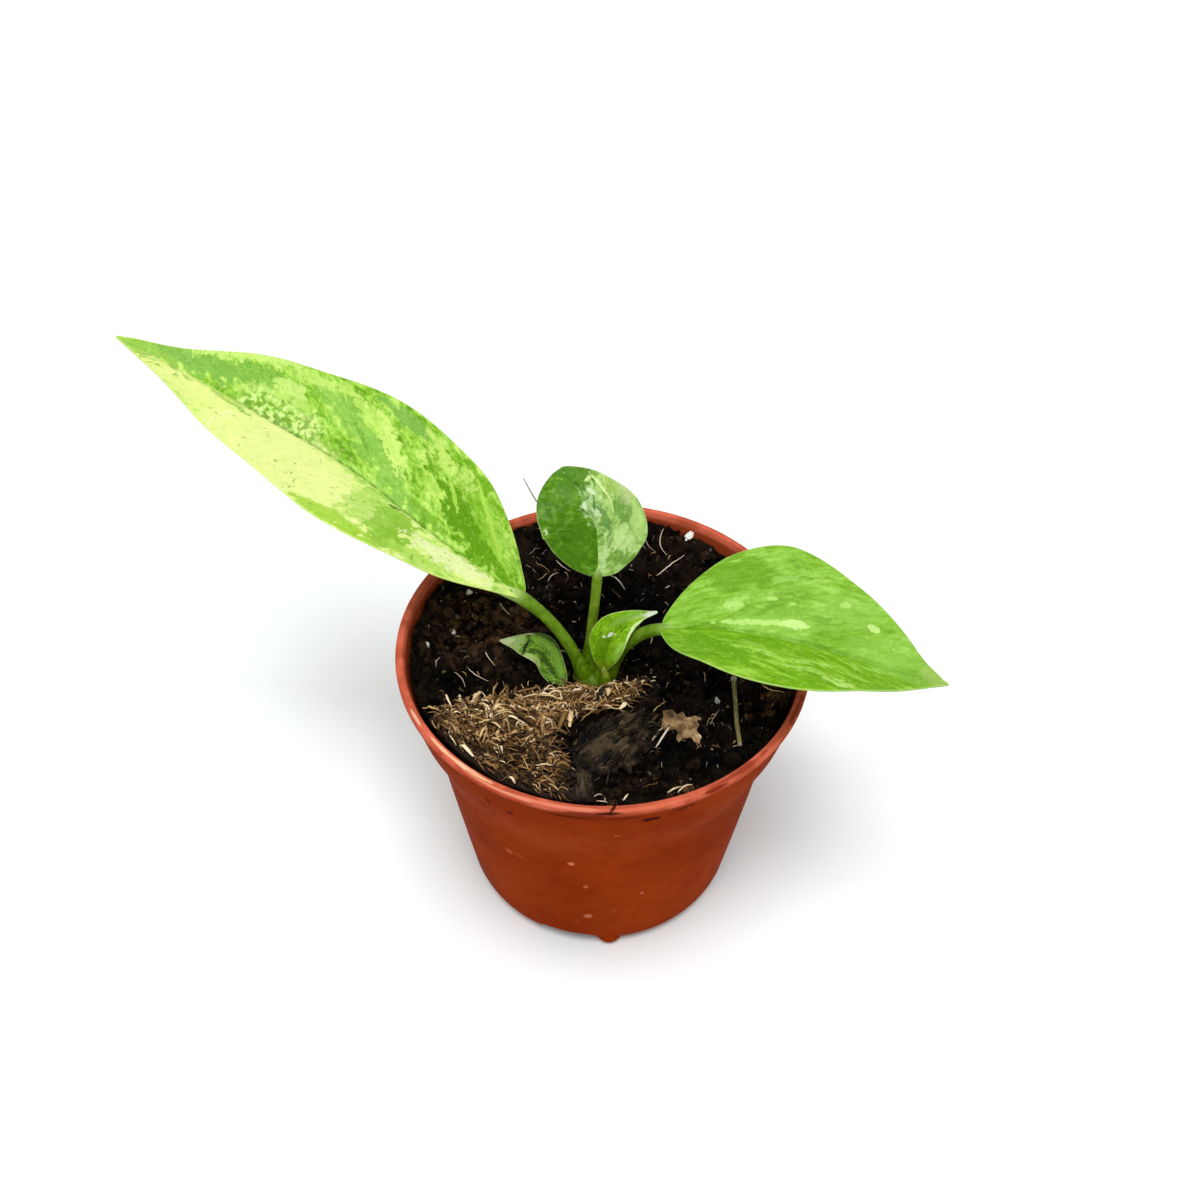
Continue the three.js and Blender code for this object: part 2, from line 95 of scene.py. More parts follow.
class Flow:
    """One output of a node, used like a number."""

    def __init__(self, finish, socket):
        self.finish = finish
        self.socket = socket

    def maths(self, operation, *others):
        places = dict(enumerate((self, *others)))
        return self.finish.node("ShaderNodeMath", {"operation": operation}, places)

    def __add__(self, other):
        return self.maths("ADD", other)

    def __sub__(self, other):
        return self.maths("SUBTRACT", other)

    def __rsub__(self, other):
        return self.finish.node("ShaderNodeMath", {"operation": "SUBTRACT"}, {0: other, 1: self})

    def __mul__(self, other):
        return self.maths("MULTIPLY", other)

    def __truediv__(self, other):
        return self.maths("DIVIDE", other)

    def __neg__(self):
        return self.maths("MULTIPLY", -1.0)

    def __abs__(self):
        return self.maths("ABSOLUTE")

    __radd__ = __add__
    __rmul__ = __mul__

    def step(self, low, high):
        """0 below low, 1 above high and smooth between; low may be the larger one."""
        inputs = {"Value": self, "From Min": low, "From Max": high}
        return self.finish.node("ShaderNodeMapRange", {"interpolation_type": "SMOOTHSTEP"}, inputs)


print("a wrapped socket knows", [name for name in vars(Flow) if not name.startswith("__")])

# %% A material while it is made


class Finish:
    """A material while it is made: its nodes and its one surface shader."""

    def __init__(self, name):
        self.material = bpy.data.materials.new(name)
        self.material.use_nodes = True
        self.tree = self.material.node_tree
        self.tree.nodes.clear()

    def node(self, kind, settings=None, inputs=None, output=0):
        """Any node: its type, its settings, then the values or links of its sockets."""
        made = self.tree.nodes.new(kind)
        for key, value in (settings or {}).items():
            if key == "stops":
                self.set_stops(made.color_ramp, value)
            else:
                setattr(made, key, value)
        for place, value in (inputs or {}).items():
            if isinstance(value, Flow):
                self.tree.links.new(value.socket, made.inputs[place])
            elif value is not None:
                made.inputs[place].default_value = value
        return Flow(self, made.outputs[output]) if len(made.outputs) else None

    @staticmethod
    def set_stops(ramp, stops):
        while len(ramp.elements) < len(stops):
            ramp.elements.new(0.5)
        for element, (place, colour) in zip(ramp.elements, stops):
            element.position = place
            element.color = colour

    def ramp(self, value, stops):
        """The colour for a value, eased from one stop to the next."""
        made = self.node("ShaderNodeValToRGB", {"stops": stops}, {0: value})
        made.socket.node.color_ramp.interpolation = "EASE"
        return made

    def blend(self, share, first, second, mode="MIX"):
        """The first colour where share is 0 and the second where it is 1."""
        settings = {"data_type": "RGBA", "blend_type": mode}
        return self.node("ShaderNodeMix", settings, {0: share, 6: first, 7: second}, output=2)

    def place(self):
        """Where a point is on the piece, in metres."""
        return self.node("ShaderNodeTexCoord", output="Object")

    def note(self, label):
        """The three numbers that each point of the mesh carries under this label."""
        vector = self.node("ShaderNodeAttribute", {"attribute_name": label}, output="Vector")
        return self.split(vector)

    def split(self, vector):
        first = self.node("ShaderNodeSeparateXYZ", inputs={0: vector})
        return [Flow(self, socket) for socket in first.socket.node.outputs]

    def join(self, x, y, z):
        return self.node("ShaderNodeCombineXYZ", inputs={0: x, 1: y, 2: z})

    def length(self, vector):
        settings = {"operation": "LENGTH"}
        return self.node("ShaderNodeVectorMath", settings, {0: vector}, output="Value")

    def noise(self, where, scale, detail, roughness=0.55):
        inputs = {"Vector": where, "Scale": scale, "Detail": detail, "Roughness": roughness}
        return self.node("ShaderNodeTexNoise", {"noise_dimensions": "3D"}, inputs)

    def bump(self, height, depth, strength, under=None):
        """A surface normal from a height; depth is what a height of 1 means, in mm."""
        inputs = {"Strength": strength, "Distance": depth * MM, "Height": height, "Normal": under}
        return self.node("ShaderNodeBump", inputs=inputs)

    def surface(self, colour, roughness, normal=None, **others):
        """Closes the material with one shader and gives it back."""
        inputs = {"Base Color": colour, "Roughness": roughness, "Normal": normal}
        inputs.update((name.replace("_", " "), value) for name, value in others.items())
        shader = self.node("ShaderNodeBsdfPrincipled", inputs=inputs)
        self.node("ShaderNodeOutputMaterial", inputs={"Surface": shader})
        return self.material


print("a finish can add", [name for name in vars(Finish) if not name.startswith("__")])

# %% Colours


def paint(red, green, blue):
    """A shader colour from the 0 to 255 values that a picture shows."""
    def linear(value):
        value /= 255
        return value / 12.92 if value <= 0.04045 else ((value + 0.055) / 1.055) ** 2.4
    return (linear(red), linear(green), linear(blue), 1.0)


print("a middle grey is", round(paint(128, 128, 128)[0], 3), "in the shader")

# %% [markdown]
# ## Floor and light
#
# The plant stands on white paper under wide soft light, with one soft shadow to each side of the
# pot. A pale world gives the even light and one large lamp above gives the leaves their sheen.

# %% Floor
FLOOR_REACH = 3.0  # in metres, as the lamp's place is


def floor_finish():
    finish = Finish("white_paper")
    tooth = finish.noise(finish.place(), 900.0, detail=2.0)
    colour = finish.blend(tooth, (0.90, 0.935, 0.94, 1), (0.92, 0.955, 0.96, 1))
    return finish.surface(colour, 0.9, Specular_IOR_Level=0.1)


def set_stage():
    mesh = bpy.data.meshes.new("floor")
    square = ((-1, -1), (1, -1), (1, 1), (-1, 1))
    corners = [(FLOOR_REACH * x, FLOOR_REACH * y, 0) for x, y in square]
    mesh.from_pydata(corners, [], [(0, 1, 2, 3)])
    mesh.materials.append(floor_finish())
    floor = bpy.data.objects.new("floor", mesh)
    bpy.context.scene.collection.objects.link(floor)
    return floor


print("floor", round(set_stage().dimensions.x, 1), "m wide")

# %% Light
ROOM_LIGHT = 0.62
WINDOW_AT, WINDOW_AIM = (-0.02, -0.31, 1.15), (0, 0, 0.04)
WINDOW_SIZE, WINDOW_WATTS = 0.56, 10.4


def set_room():
    """A white world that lights the plant evenly from all around."""
    world = bpy.data.worlds.new("pale_room")
    world.use_nodes = True
    background = world.node_tree.nodes["Background"]
    background.inputs["Color"].default_value = (1.0, 1.0, 1.0, 1)
    background.inputs["Strength"].default_value = ROOM_LIGHT
    bpy.context.scene.world = world
    bpy.context.scene.view_settings.view_transform = "Standard"


def add_window():
    """One large soft lamp above and in front, aimed at the plant."""
    data = bpy.data.lights.new("big_window", "AREA")
    data.size = WINDOW_SIZE
    data.energy = WINDOW_WATTS
    lamp = bpy.data.objects.new("big_window", data)
    bpy.context.scene.collection.objects.link(lamp)
    lamp.location = WINDOW_AT
    direction = Vector(WINDOW_AIM) - Vector(WINDOW_AT)
    lamp.rotation_euler = direction.to_track_quat("-Z", "Y").to_euler()


set_room()
add_window()
print("lamps:", [lamp.name for lamp in bpy.data.lights])

# %% [markdown]
# ## Pieces from points
#
# Every piece is a mesh made from lists of points and faces in millimetres. A tube along a path
# serves for stalks, fibres and straws, and a small collector joins hundreds of them into one
# piece. Each point can carry three numbers, a note, that its finish reads later.

# %% Pieces


def make_piece(name, points, faces, finish, stands_for, notes=None, crease=None):
    """One mesh piece, from points in millimetres, placed in the frame."""
    mesh = bpy.data.meshes.new(name)
    mesh.from_pydata((np.asarray(points, float) * MM).tolist(), [], faces)
    for label, rows in (notes or {}).items():
        layer = mesh.attributes.new(label, "FLOAT_VECTOR", "POINT")
        layer.data.foreach_set("vector", np.asarray(rows, np.float32).ravel())
    mesh.shade_smooth()
    if crease:
        mesh.set_sharp_from_angle(angle=math.radians(crease))
    mesh.materials.append(finish)
    piece = bpy.data.objects.new(name, mesh)
    bpy.context.scene.collection.objects.link(piece)
    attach(piece, "root")
    if stands_for:
        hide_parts(*stands_for)
    print(name, "has", len(mesh.polygons), "faces")
    return piece


class Parts:
    """Gathers the points, faces and notes of one piece, part by part."""

    def __init__(self):
        self.points = []
        self.faces = []
        self.notes = []
        self.count = 0

    def add(self, points, faces, note=(0, 0, 0)):
        self.points.append(points)
        self.notes.append(np.broadcast_to(np.asarray(note, float), (len(points), 3)))
        self.faces += [[v + self.count for v in face] for face in faces]
        self.count += len(points)

    def piece(self, name, finish, slot, stands_for=(), crease=None):
        notes = {"note": np.vstack(self.notes)}
        return make_piece(name, np.vstack(self.points), self.faces, finish, stands_for,
                          notes, crease)


print("1 mm is", MM, "m in the scene")

# %% Smooth paths
PATH_STEPS = 40  # points of the curve from one given point to the next


def path_through(points):
    """A dense smooth curve through the points, and the length walked at each of its points."""
    given = [np.array(p, float) for p in points]
    knots = [2 * given[0] - given[1], *given, 2 * given[-1] - given[-2]]
    t = np.linspace(0, 1, PATH_STEPS, endpoint=False)[:, None]
    dense = []
    for a, b, c, d in zip(knots, knots[1:], knots[2:], knots[3:]):
        g0, g1, g2 = (math.sqrt(np.linalg.norm(v - u)) for u, v in ((a, b), (b, c), (c, d)))
        leave = ((b - a) / g0 - (c - a) / (g0 + g1) + (c - b) / g1) * g1
        reach = ((c - b) / g1 - (d - b) / (g1 + g2) + (d - c) / g2) * g1
        bend = 3 * (c - b) - 2 * leave - reach
        dense.append(b + leave * t + bend * t**2 + (2 * (b - c) + leave + reach) * t**3)
    dense = np.vstack([*dense, given[-1][None]])
    steps_walked = np.linalg.norm(np.diff(dense, axis=0), axis=1)
    return dense, np.concatenate([[0], np.cumsum(steps_walked)])


def along_path(points, shares):
    """Points of the smooth curve at these shares of its length."""
    dense, walked = path_through(points)
    places = np.asarray(shares) * walked[-1]
    return np.stack([np.interp(places, walked, dense[:, k]) for k in range(3)], axis=1)


print("a path over two sides of a square is",
      round(path_through([(0, 0, 0), (1, 0, 0), (1, 1, 0)])[1][-1], 2), "sides long")

# %% Rings and tubes


def unit(vectors):
    return vectors / np.linalg.norm(vectors, axis=-1, keepdims=True)


def circle(radius, height, sides):
    """Points around the vertical axis at this height."""
    turns = 2 * np.pi * np.arange(sides) / sides
    return np.stack([radius * np.cos(turns), radius * np.sin(turns), 0 * turns + height], axis=1)


def ring_faces(rings, sides, caps=True):
    """Faces between rings of points, with a lid on each end."""
    faces = []
    for i in range(rings - 1):
        for k in range(sides):
            a = i * sides + k
            b = i * sides + (k + 1) % sides
            faces.append((a, b, b + sides, a + sides))
    if caps:
        faces.append(tuple(range(sides))[::-1])
        faces.append(tuple(range((rings - 1) * sides, rings * sides)))
    return faces


def tube(path, radii, sides, flat=1.0):
    """A closed skin along a path with a radius at each point; flat squeezes its section."""
    path = np.asarray(path, float)
    ahead = unit(np.gradient(path, axis=0))
    normal = np.cross(ahead[0], (0.31, 0.52, 0.8))
    turns = 2 * np.pi * np.arange(sides) / sides
    rings = []
    for point, forward, radius in zip(path, ahead, radii):
        normal = unit(normal - forward * normal.dot(forward))
        other = np.cross(forward, normal)
        rings.append(point + radius * (np.outer(np.cos(turns), normal)
                                       + flat * np.outer(np.sin(turns), other)))
    return np.vstack(rings), ring_faces(len(path), sides)


print("a six-sided tube of two rings has", len(ring_faces(2, 6)), "faces")

# %% Rough ground


def grain(points, size, seed, octaves=3):
    """Smooth random heights of about -1 to 1 at points in mm, with lumps of this size."""
    shift = Vector((seed, 2.3 * seed, -1.7 * seed))
    return np.array([noise.fractal(Vector(p) / size + shift, 1.0, 2.0, octaves)
                     for p in np.asarray(points, float)])


def on_plane(x, y):
    """Points at height 0."""
    return np.stack([x, y, 0 * x], axis=1)


SOIL_RADIUS, SOIL_TOP, HEAP_TOP = 27.5, 44.4, 46.9


def soil_height(x, y):
    """Height of the compost, as in the packed model: low lumps and a bank against the wall."""
    reach = np.hypot(x, y) / SOIL_RADIUS
    bank = 1.5 * reach**2 * (0.6 + 0.4 * np.cos(3 * np.arctan2(y, x) - 5.2))
    lumps = (0.45 * np.sin(0.42 * x + 1.1) * np.cos(0.37 * y - 0.6)
             + 0.3 * np.sin(0.6 * x - 0.35 * y + 2) * np.cos(0.5 * y + 0.2 * x))
    return SOIL_TOP + bank + lumps


def peat_level(x, y):
    """The compost with the crumbs that are heaped against the wall, highest at the left."""
    heap = np.clip((np.hypot(x, y) - 23.5) / 4.0, 0, 1)
    heap = heap * heap * (3 - 2 * heap)
    heaped = soil_height(x, y) + heap * (1.0 + 0.45 * np.cos(np.arctan2(y, x) - 2.8))
    return np.minimum(heaped, HEAP_TOP)


print("the compost lies at", round(float(soil_height(0, 0)), 2), "mm in the middle")

# %% [markdown]
# ## Leaf finishes
#
# The leaves are variegated: cream, yellow-green and deep green lie in ragged streaks that leave
# the midrib at a low angle and run towards the tip. Painting an image would be the usual way.
# Here stretched noise along the veins gives the mottling, and a short list of patches, each an
# oval in the leaf's own flat measure with its edge torn by the same noise, gives the large
# fields of colour. A dark midrib, a pale margin and small cells in the relief finish the skin.

# %% Patches of colour
LAMP_SHARE = 0.82  # the lamps show a colour this much brighter than white light of 1 would


def seen(red, green, blue):
    """The shader colour that looks like these picture values under the lamps."""
    colour = paint(red, green, blue)
    return (*[LAMP_SHARE * value for value in colour[:3]], 1.0)


def lay_patches(finish, colour, where, ragged, patches, soft=0.16):
    """Lays ovals of colour on a leaf; ragged is the noise that tears their edges."""
    for at_y, at_x, half_length, half_width, lean, tone, strength in patches:
        local = finish.node("ShaderNodeMapping", {"vector_type": "TEXTURE"}, {
            "Vector": where, "Location": (at_x, at_y, 0), "Rotation": (0, 0, -math.atan(lean)),
            "Scale": (half_width, half_length, 1)})
        share = (finish.length(local) + ragged).step(1 + soft, 1 - soft)
        colour = finish.blend(share * strength, colour, seen(*tone))
    return colour


print("a leaf green is", [round(v, 3) for v in seen(104, 160, 16)[:3]], "in the shader")

# %% Noise along the veins


def vein_noises(finish, x, y, side, slope, drawn, size, seed):
    """Broad, fine, torn and hair-thin noise, drawn out along the veins of each half."""
    out = abs(x)
    squeeze = 1 / math.hypot(1, slope)
    across = (y - out * slope) * squeeze
    along = (y * slope + out) * squeeze
    over, down = (lumps / size for lumps in drawn)
    drift = finish.noise(finish.join(x * 0.16, y * 0.16, seed), 1.0, 2.0) * 2.4
    broad = finish.noise(finish.join(across * over * 0.45 + drift, along * down * 0.3,
                                     side * 9 + seed), 1.0, 3.0)
    fine = finish.noise(finish.join(across * over * 1.7 + drift, along * down * 1.2,
                                    side * 5 + seed), 1.0, 5.0, 0.66)
    torn = finish.noise(finish.join(across * over * 1.3 + drift, along * down,
                                    side * 7 + seed), 1.0, 3.0, 0.5)
    hair = finish.noise(finish.join(across * 6.0, along * 0.9, seed), 1.0, 2.0)
    return broad, fine, torn, hair


print("veins that run on 2 mm for each mm outwards lie at",
      round(math.degrees(math.atan(1 / 2))), "degrees to the midrib")

# %% Specks, froth, midrib and stalk
CELL_SHADE, CELL_LIGHT = (0.70, 0.85, 0.5, 1), (214, 246, 138)
FLECK, RIB_LINE, UNDERSIDE, STALK_DOT = (98, 146, 34), (62, 124, 0), (170, 198, 124), (92, 72, 34)
FROTH_DARK, FROTH_LIGHT = (92, 146, 30), (226, 250, 168)


def add_specks(finish, colour, x, y, side, streaked, flecks, size, seed):
    """Small cells, thin shade along the veins and a few green flecks."""
    cell = finish.noise(finish.join(x, y, seed + 5), 2.3 / size, 3.0, 0.7)
    few = 1.0 - side * (1.0 - flecks)
    colour = finish.blend(cell.step(0.54, 0.64) * few * 0.6, colour, CELL_SHADE, "MULTIPLY")
    colour = finish.blend(cell.step(0.45, 0.36) * few * 0.2, colour, seen(*CELL_LIGHT))
    shade = finish.ramp(streaked, [(0.36, (0.84, 0.9, 0.76, 1)), (0.6, (1, 1, 1, 1))])
    colour = finish.blend(0.75, colour, shade, "MULTIPLY")
    fleck = finish.noise(finish.join(x, y, seed), 1.5 / size, 2.0).step(0.65, 0.7)
    return finish.blend(fleck * 0.55, colour, seen(*FLECK))


def add_froth(finish, colour, x, y, torn, reach, seed):
    """A stretch of small light bubbles beside the midrib, from one length to another."""
    zone = y.step(reach[0], reach[0] + 3.0) * y.step(reach[1], reach[1] - 3.0)
    zone = zone * x.step(0.9, 0.1) * (x + (torn - 0.5) * 9.0).step(-4.6, -2.2)
    bubble = finish.noise(finish.join(x, y, seed + 11), 1.1, 2.5, 0.6)
    colour = finish.blend(zone * bubble.step(0.49, 0.56) * 0.7, colour, seen(*FROTH_DARK))
    return finish.blend(zone * bubble.step(0.46, 0.4) * 0.75, colour, seen(*FROTH_LIGHT))


def midrib_line(x, y, nibbled, rib_from, size):
    """How much of the thin broken line over the midrib shows at each point."""
    line = (abs(x) / (0.34 * math.sqrt(size))).step(1.0, 0.35)
    line = line * y.step(rib_from[0] - 2, rib_from[0] + 2) * y.step(rib_from[1], rib_from[1] - 8)
    return line * (0.25 + 0.75 * nibbled.step(0.4, 0.56))


def stalk_colour(finish, place, tones):
    """Two greens in short streaks, with a few brown dots."""
    ridge = finish.noise(place, 900.0, 3.0)
    stem = finish.blend(ridge.step(0.35, 0.65), seen(*tones[0]), seen(*tones[1]))
    dot = finish.noise(place, 2300.0, 1.0).step(0.68, 0.74)
    return finish.blend(dot * 0.5, stem, seen(*STALK_DOT))


print("picture values of the midrib's line:", RIB_LINE)

# %% Leaf finish


def leaf_finish(name, length, slope, seed, tones, patches, lines, stalk_tones, drawn, flecks,
                gloss=0.42, rib_bow=0.0, size=1.0, rim=0.3, rim_tone=(208, 216, 180),
                rib_from=(8, 60), rib_share=0.6, soft=0.2, froth=None):
    """tones: four colours for each half; slope: how far a vein runs on for each mm outwards;
    patches and lines: middle along and across, half length, half width, lean, tone, strength;
    drawn: how many lumps of colour lie in 1 mm across the veins and along them."""
    finish = Finish(name)
    x, y, margin = finish.note("leaf")
    side, top, stalk = finish.note("kind")
    place = finish.place()
    if rib_bow:
        x = x - (y * (math.pi / length)).maths("SINE") * rib_bow
    broad, fine, torn, hair = vein_noises(finish, x, y, side, slope, drawn, size, seed)
    mottle = broad * 0.4 + torn * 0.3 + fine * 0.3
    halves = [finish.ramp(mottle, [(at, seen(*tone)) for at, tone
                                   in zip((0.42, 0.475, 0.53, 0.6), row)]) for row in tones]
    colour = finish.blend(side, halves[0], halves[1])
    wander = finish.noise(finish.join(x, y, seed + 2), 0.6 / size, 2.5, 0.5)
    flat = finish.join(x + (torn - 0.5) * 4.0 * size, y + (wander - 0.5) * 7.0 * size, 0.0)
    ragged = (broad - 0.5) * 1.0 + (torn - 0.5) * 2.0 + (fine - 0.5) * 0.4
    colour = lay_patches(finish, colour, flat, ragged, patches, soft)
    calm = finish.join(x + (wander - 0.5) * 0.9 * size, y + (fine - 0.5) * 0.8 * size, 0.0)
    nibbled = finish.noise(finish.join(x, y * 0.6, seed + 7), 1.5 / size, 3.0, 0.6)
    colour = lay_patches(finish, colour, calm, (fine - 0.5) * 1.3 + (nibbled - 0.5) * 1.7, lines)
    colour = add_specks(finish, colour, x, y, side, hair * 0.4 + fine * 0.6, flecks, size, seed)
    if froth:
        colour = add_froth(finish, colour, x, y, torn, froth, seed)
    line = midrib_line(x, y, nibbled, rib_from, size)
    colour = finish.blend(line * rib_share, colour, seen(*RIB_LINE))
    edge = margin.step(rim, rim * 0.25)
    colour = finish.blend(edge * 0.6, colour, seen(*rim_tone))
    under = finish.blend(0.5, colour, seen(*UNDERSIDE))
    colour = finish.blend(top, under, colour)
    colour = finish.blend(stalk, colour, stalk_colour(finish, place, stalk_tones))
    relief = finish.bump(hair, 0.05, 0.35)
    relief = finish.bump(finish.noise(place, 5200.0, 2.0), 0.03, 0.5, relief)
    rough = gloss + (fine - 0.5) * 0.2 + stalk * 0.06
    print(name, "has", len(patches), "fields and", len(lines), "lines of colour")
    return finish.surface(colour, rough, relief, Specular_IOR_Level=0.09,
                          Subsurface_Weight=0.06, Subsurface_Radius=(0.6, 1.0, 0.25),
                          Subsurface_Scale=0.0005)


# %% [markdown]
# Every leaf has its own list of fields and fine lines. They are read off the real leaf in mm
# along the midrib and outwards from it, so that a colour stays in its place on the blade however
# the blade is bent. A painted image would have to be unwrapped and drawn again for each change.

# %% Colours of the left leaf
left_finish = leaf_finish(
    "left_leaf_skin", length=72.0, slope=1.9, seed=1.0,
    tones=[[(104, 160, 16), (138, 194, 50), (172, 222, 84), (206, 240, 120)],
           [(150, 202, 66), (196, 234, 110), (226, 246, 138), (242, 252, 170)]],
    patches=[
        (38, 5.8, 12.5, 6, -0.1, (242, 252, 160), 0.9),
        (56.5, 2.2, 9.5, 2.4, -0.12, (238, 250, 150), 0.9),
        (20.3, 5.4, 2.6, 6.2, 0, (138, 192, 46), 0.85),
        (24.3, 4.2, 3, 5, 0.1, (168, 216, 88), 0.6),
        (27, 10.3, 8, 1.3, 0.12, (166, 212, 60), 0.85),
        (11, 2.3, 6.2, 1.3, 0.15, (240, 250, 184), 0.9),
        (15, 6.6, 4.5, 1.5, 0.3, (176, 222, 88), 0.7),
        (57, -2.3, 9.5, 2, 0.2, (140, 194, 84), 0.9),
        (50, -4.8, 5.5, 1.9, 0.3, (132, 188, 72), 0.8),
        (51.5, -7.4, 8.5, 0.9, 0.4, (214, 246, 132), 0.85),
        (44, -3.2, 5, 2, 0.2, (200, 238, 120), 0.75),
        (12.5, -6.5, 9, 4.6, -0.6, (126, 184, 30), 0.6),
        (14, -4.7, 6.4, 2.2, -0.6, (96, 154, 0), 0.9),
        (6, -1.7, 6.2, 1.2, -0.3, (104, 160, 10), 0.85),
        (10.2, -8, 5.4, 0.5, -0.75, (176, 224, 88), 0.7),
        (6.4, -4, 4.2, 0.5, -0.65, (170, 220, 82), 0.6),
        (18, -1.3, 4.6, 0.9, -0.1, (118, 172, 40), 0.7),
        (14, -11.2, 2.2, 1, -0.4, (120, 176, 24), 0.8),
        (16.8, -10.5, 2.2, 1.3, -0.4, (206, 240, 122), 0.7),
        (22, -11, 3.6, 1, -0.48, (206, 240, 118), 0.85),
        (27.5, -3.6, 9.5, 1.7, -0.42, (146, 200, 84), 0.75),
        (28.5, -11.8, 3.8, 1.2, -0.1, (132, 186, 80), 0.85),
        (28.3, -7.2, 5.4, 1.1, -0.77, (216, 246, 128), 0.95),
        (36, -7.6, 5, 1.8, -0.3, (148, 202, 84), 0.75),
        (38.2, -2.4, 1.3, 1.8, 0, (222, 246, 144), 0.8),
        (43.6, -6.2, 2.4, 1.2, 0, (216, 245, 136), 0.8),
        (41, -9.6, 4.2, 1, 0.25, (202, 238, 118), 0.8),
        (66, -0.2, 6, 1.6, 0, (160, 206, 84), 0.8),
        (33, -9, 6, 0.8, -0.5, (200, 238, 112), 0.7),
        (20, -6, 5, 0.6, -0.6, (196, 236, 104), 0.75),
        (6, -6.6, 4, 0.5, -0.7, (196, 236, 104), 0.7),
    ],
    stalk_tones=[(88, 126, 16), (112, 148, 32)], drawn=(0.9, 0.62), rib_from=(10, 52),
    flecks=0.22, froth=(34.5, 50.0), rim_tone=(222, 244, 140),
    lines=[
        (11.5, -8.4, 5, 0.3, -0.85, (186, 230, 88), 0.8),
        (8.4, -5.6, 4, 0.28, -0.85, (178, 224, 80), 0.75),
        (16.8, -7, 3, 0.32, -0.8, (188, 232, 92), 0.75),
        (6, -3, 3.6, 0.26, -0.6, (160, 212, 60), 0.6),
        (22.6, -8.6, 3, 0.3, -0.7, (94, 150, 10), 0.6),
        (31.5, -5.2, 2.6, 0.3, -0.7, (108, 164, 40), 0.6),
        (50.8, 1, 2, 0.4, -0.1, (150, 194, 70), 0.6),
        (47, 1.3, 1.6, 0.4, -0.1, (146, 192, 70), 0.7),
        (56, 1, 1.2, 0.3, -0.1, (160, 196, 80), 0.6),
        (21.6, 1, 1.2, 0.24, 0.4, (60, 104, 20), 0.8),
    ])

# %% Colours of the right leaf
right_finish = leaf_finish(
    "right_leaf_skin", length=43.0, slope=4.2, seed=4.0,
    tones=[[(106, 162, 6), (120, 176, 14), (136, 190, 32), (164, 214, 72)],
           [(112, 166, 28), (132, 186, 50), (146, 201, 68), (166, 217, 96)]],
    patches=[
        (9, 8.5, 4.2, 3, 0.3, (112, 167, 32), 0.7),
        (26, 6.2, 6, 2.2, 0.4, (154, 208, 88), 0.6),
        (9.4, 3.3, 2, 0.8, 0.2, (172, 220, 104), 0.7),
        (16, 2, 6, 1.2, 0.14, (150, 204, 78), 0.6),
        (13.8, 5, 2.2, 0.5, 0.3, (168, 218, 100), 0.6),
        (18.5, 9.4, 5, 0.5, 0.4, (160, 212, 92), 0.7),
        (17, 5.8, 3.4, 0.4, 0.35, (102, 154, 26), 0.55),
        (22, 3.6, 3.4, 0.35, 0.1, (112, 164, 34), 0.55),
        (10, -5.2, 6.5, 2.2, -0.35, (106, 163, 4), 0.7),
        (18, -3, 7, 0.8, 0, (112, 168, 14), 0.6),
        (17.5, -5.2, 3.8, 0.36, -0.12, (178, 224, 102), 0.8),
        (22.8, -4.6, 3.2, 0.36, 0, (178, 224, 102), 0.75),
        (20, -6.8, 3.2, 0.34, 0, (170, 218, 94), 0.7),
        (12.5, -3.2, 3.4, 0.3, -0.1, (160, 212, 84), 0.6),
        (24.4, -7.8, 1.9, 0.7, -0.1, (192, 233, 118), 0.9),
        (29, -2.4, 3, 0.35, 0.1, (176, 225, 102), 0.7),
        (34, 0.8, 8, 3, -0.1, (152, 204, 80), 0.6),
        (41, 0.2, 3, 1.6, 0, (176, 205, 108), 0.6),
    ],
    stalk_tones=[(84, 122, 14), (108, 142, 28)], drawn=(1.1, 0.34), rib_bow=0.4,
    rib_from=(6, 34), rib_share=0.3, flecks=0.5, rim_tone=(188, 220, 120),
    lines=[
        # The first line, beside the midrib, is a painted highlight streak.
        (13.6, 1.5, 5.6, 0.42, 0.13, (196, 238, 128), 0.9),
        (18.4, 2.2, 2, 0.62, 0.2, (210, 246, 146), 0.95),
        (9.6, 3.4, 1.3, 0.6, 0.2, (192, 235, 126), 0.85),
        (10.6, 4.6, 1, 0.3, 0.3, (180, 228, 112), 0.8),
        (14.6, 5.2, 0.7, 0.3, 0.3, (190, 234, 122), 0.85),
        (17.6, 5, 0.6, 0.26, 0.3, (184, 230, 116), 0.8),
        (24.8, 7, 1, 0.5, 0.2, (188, 232, 120), 0.8),
        (29.4, 4.8, 0.9, 0.6, 0.1, (206, 243, 142), 0.9),
        (20.8, 9.6, 1.6, 0.3, 0.4, (176, 224, 106), 0.7),
    ])
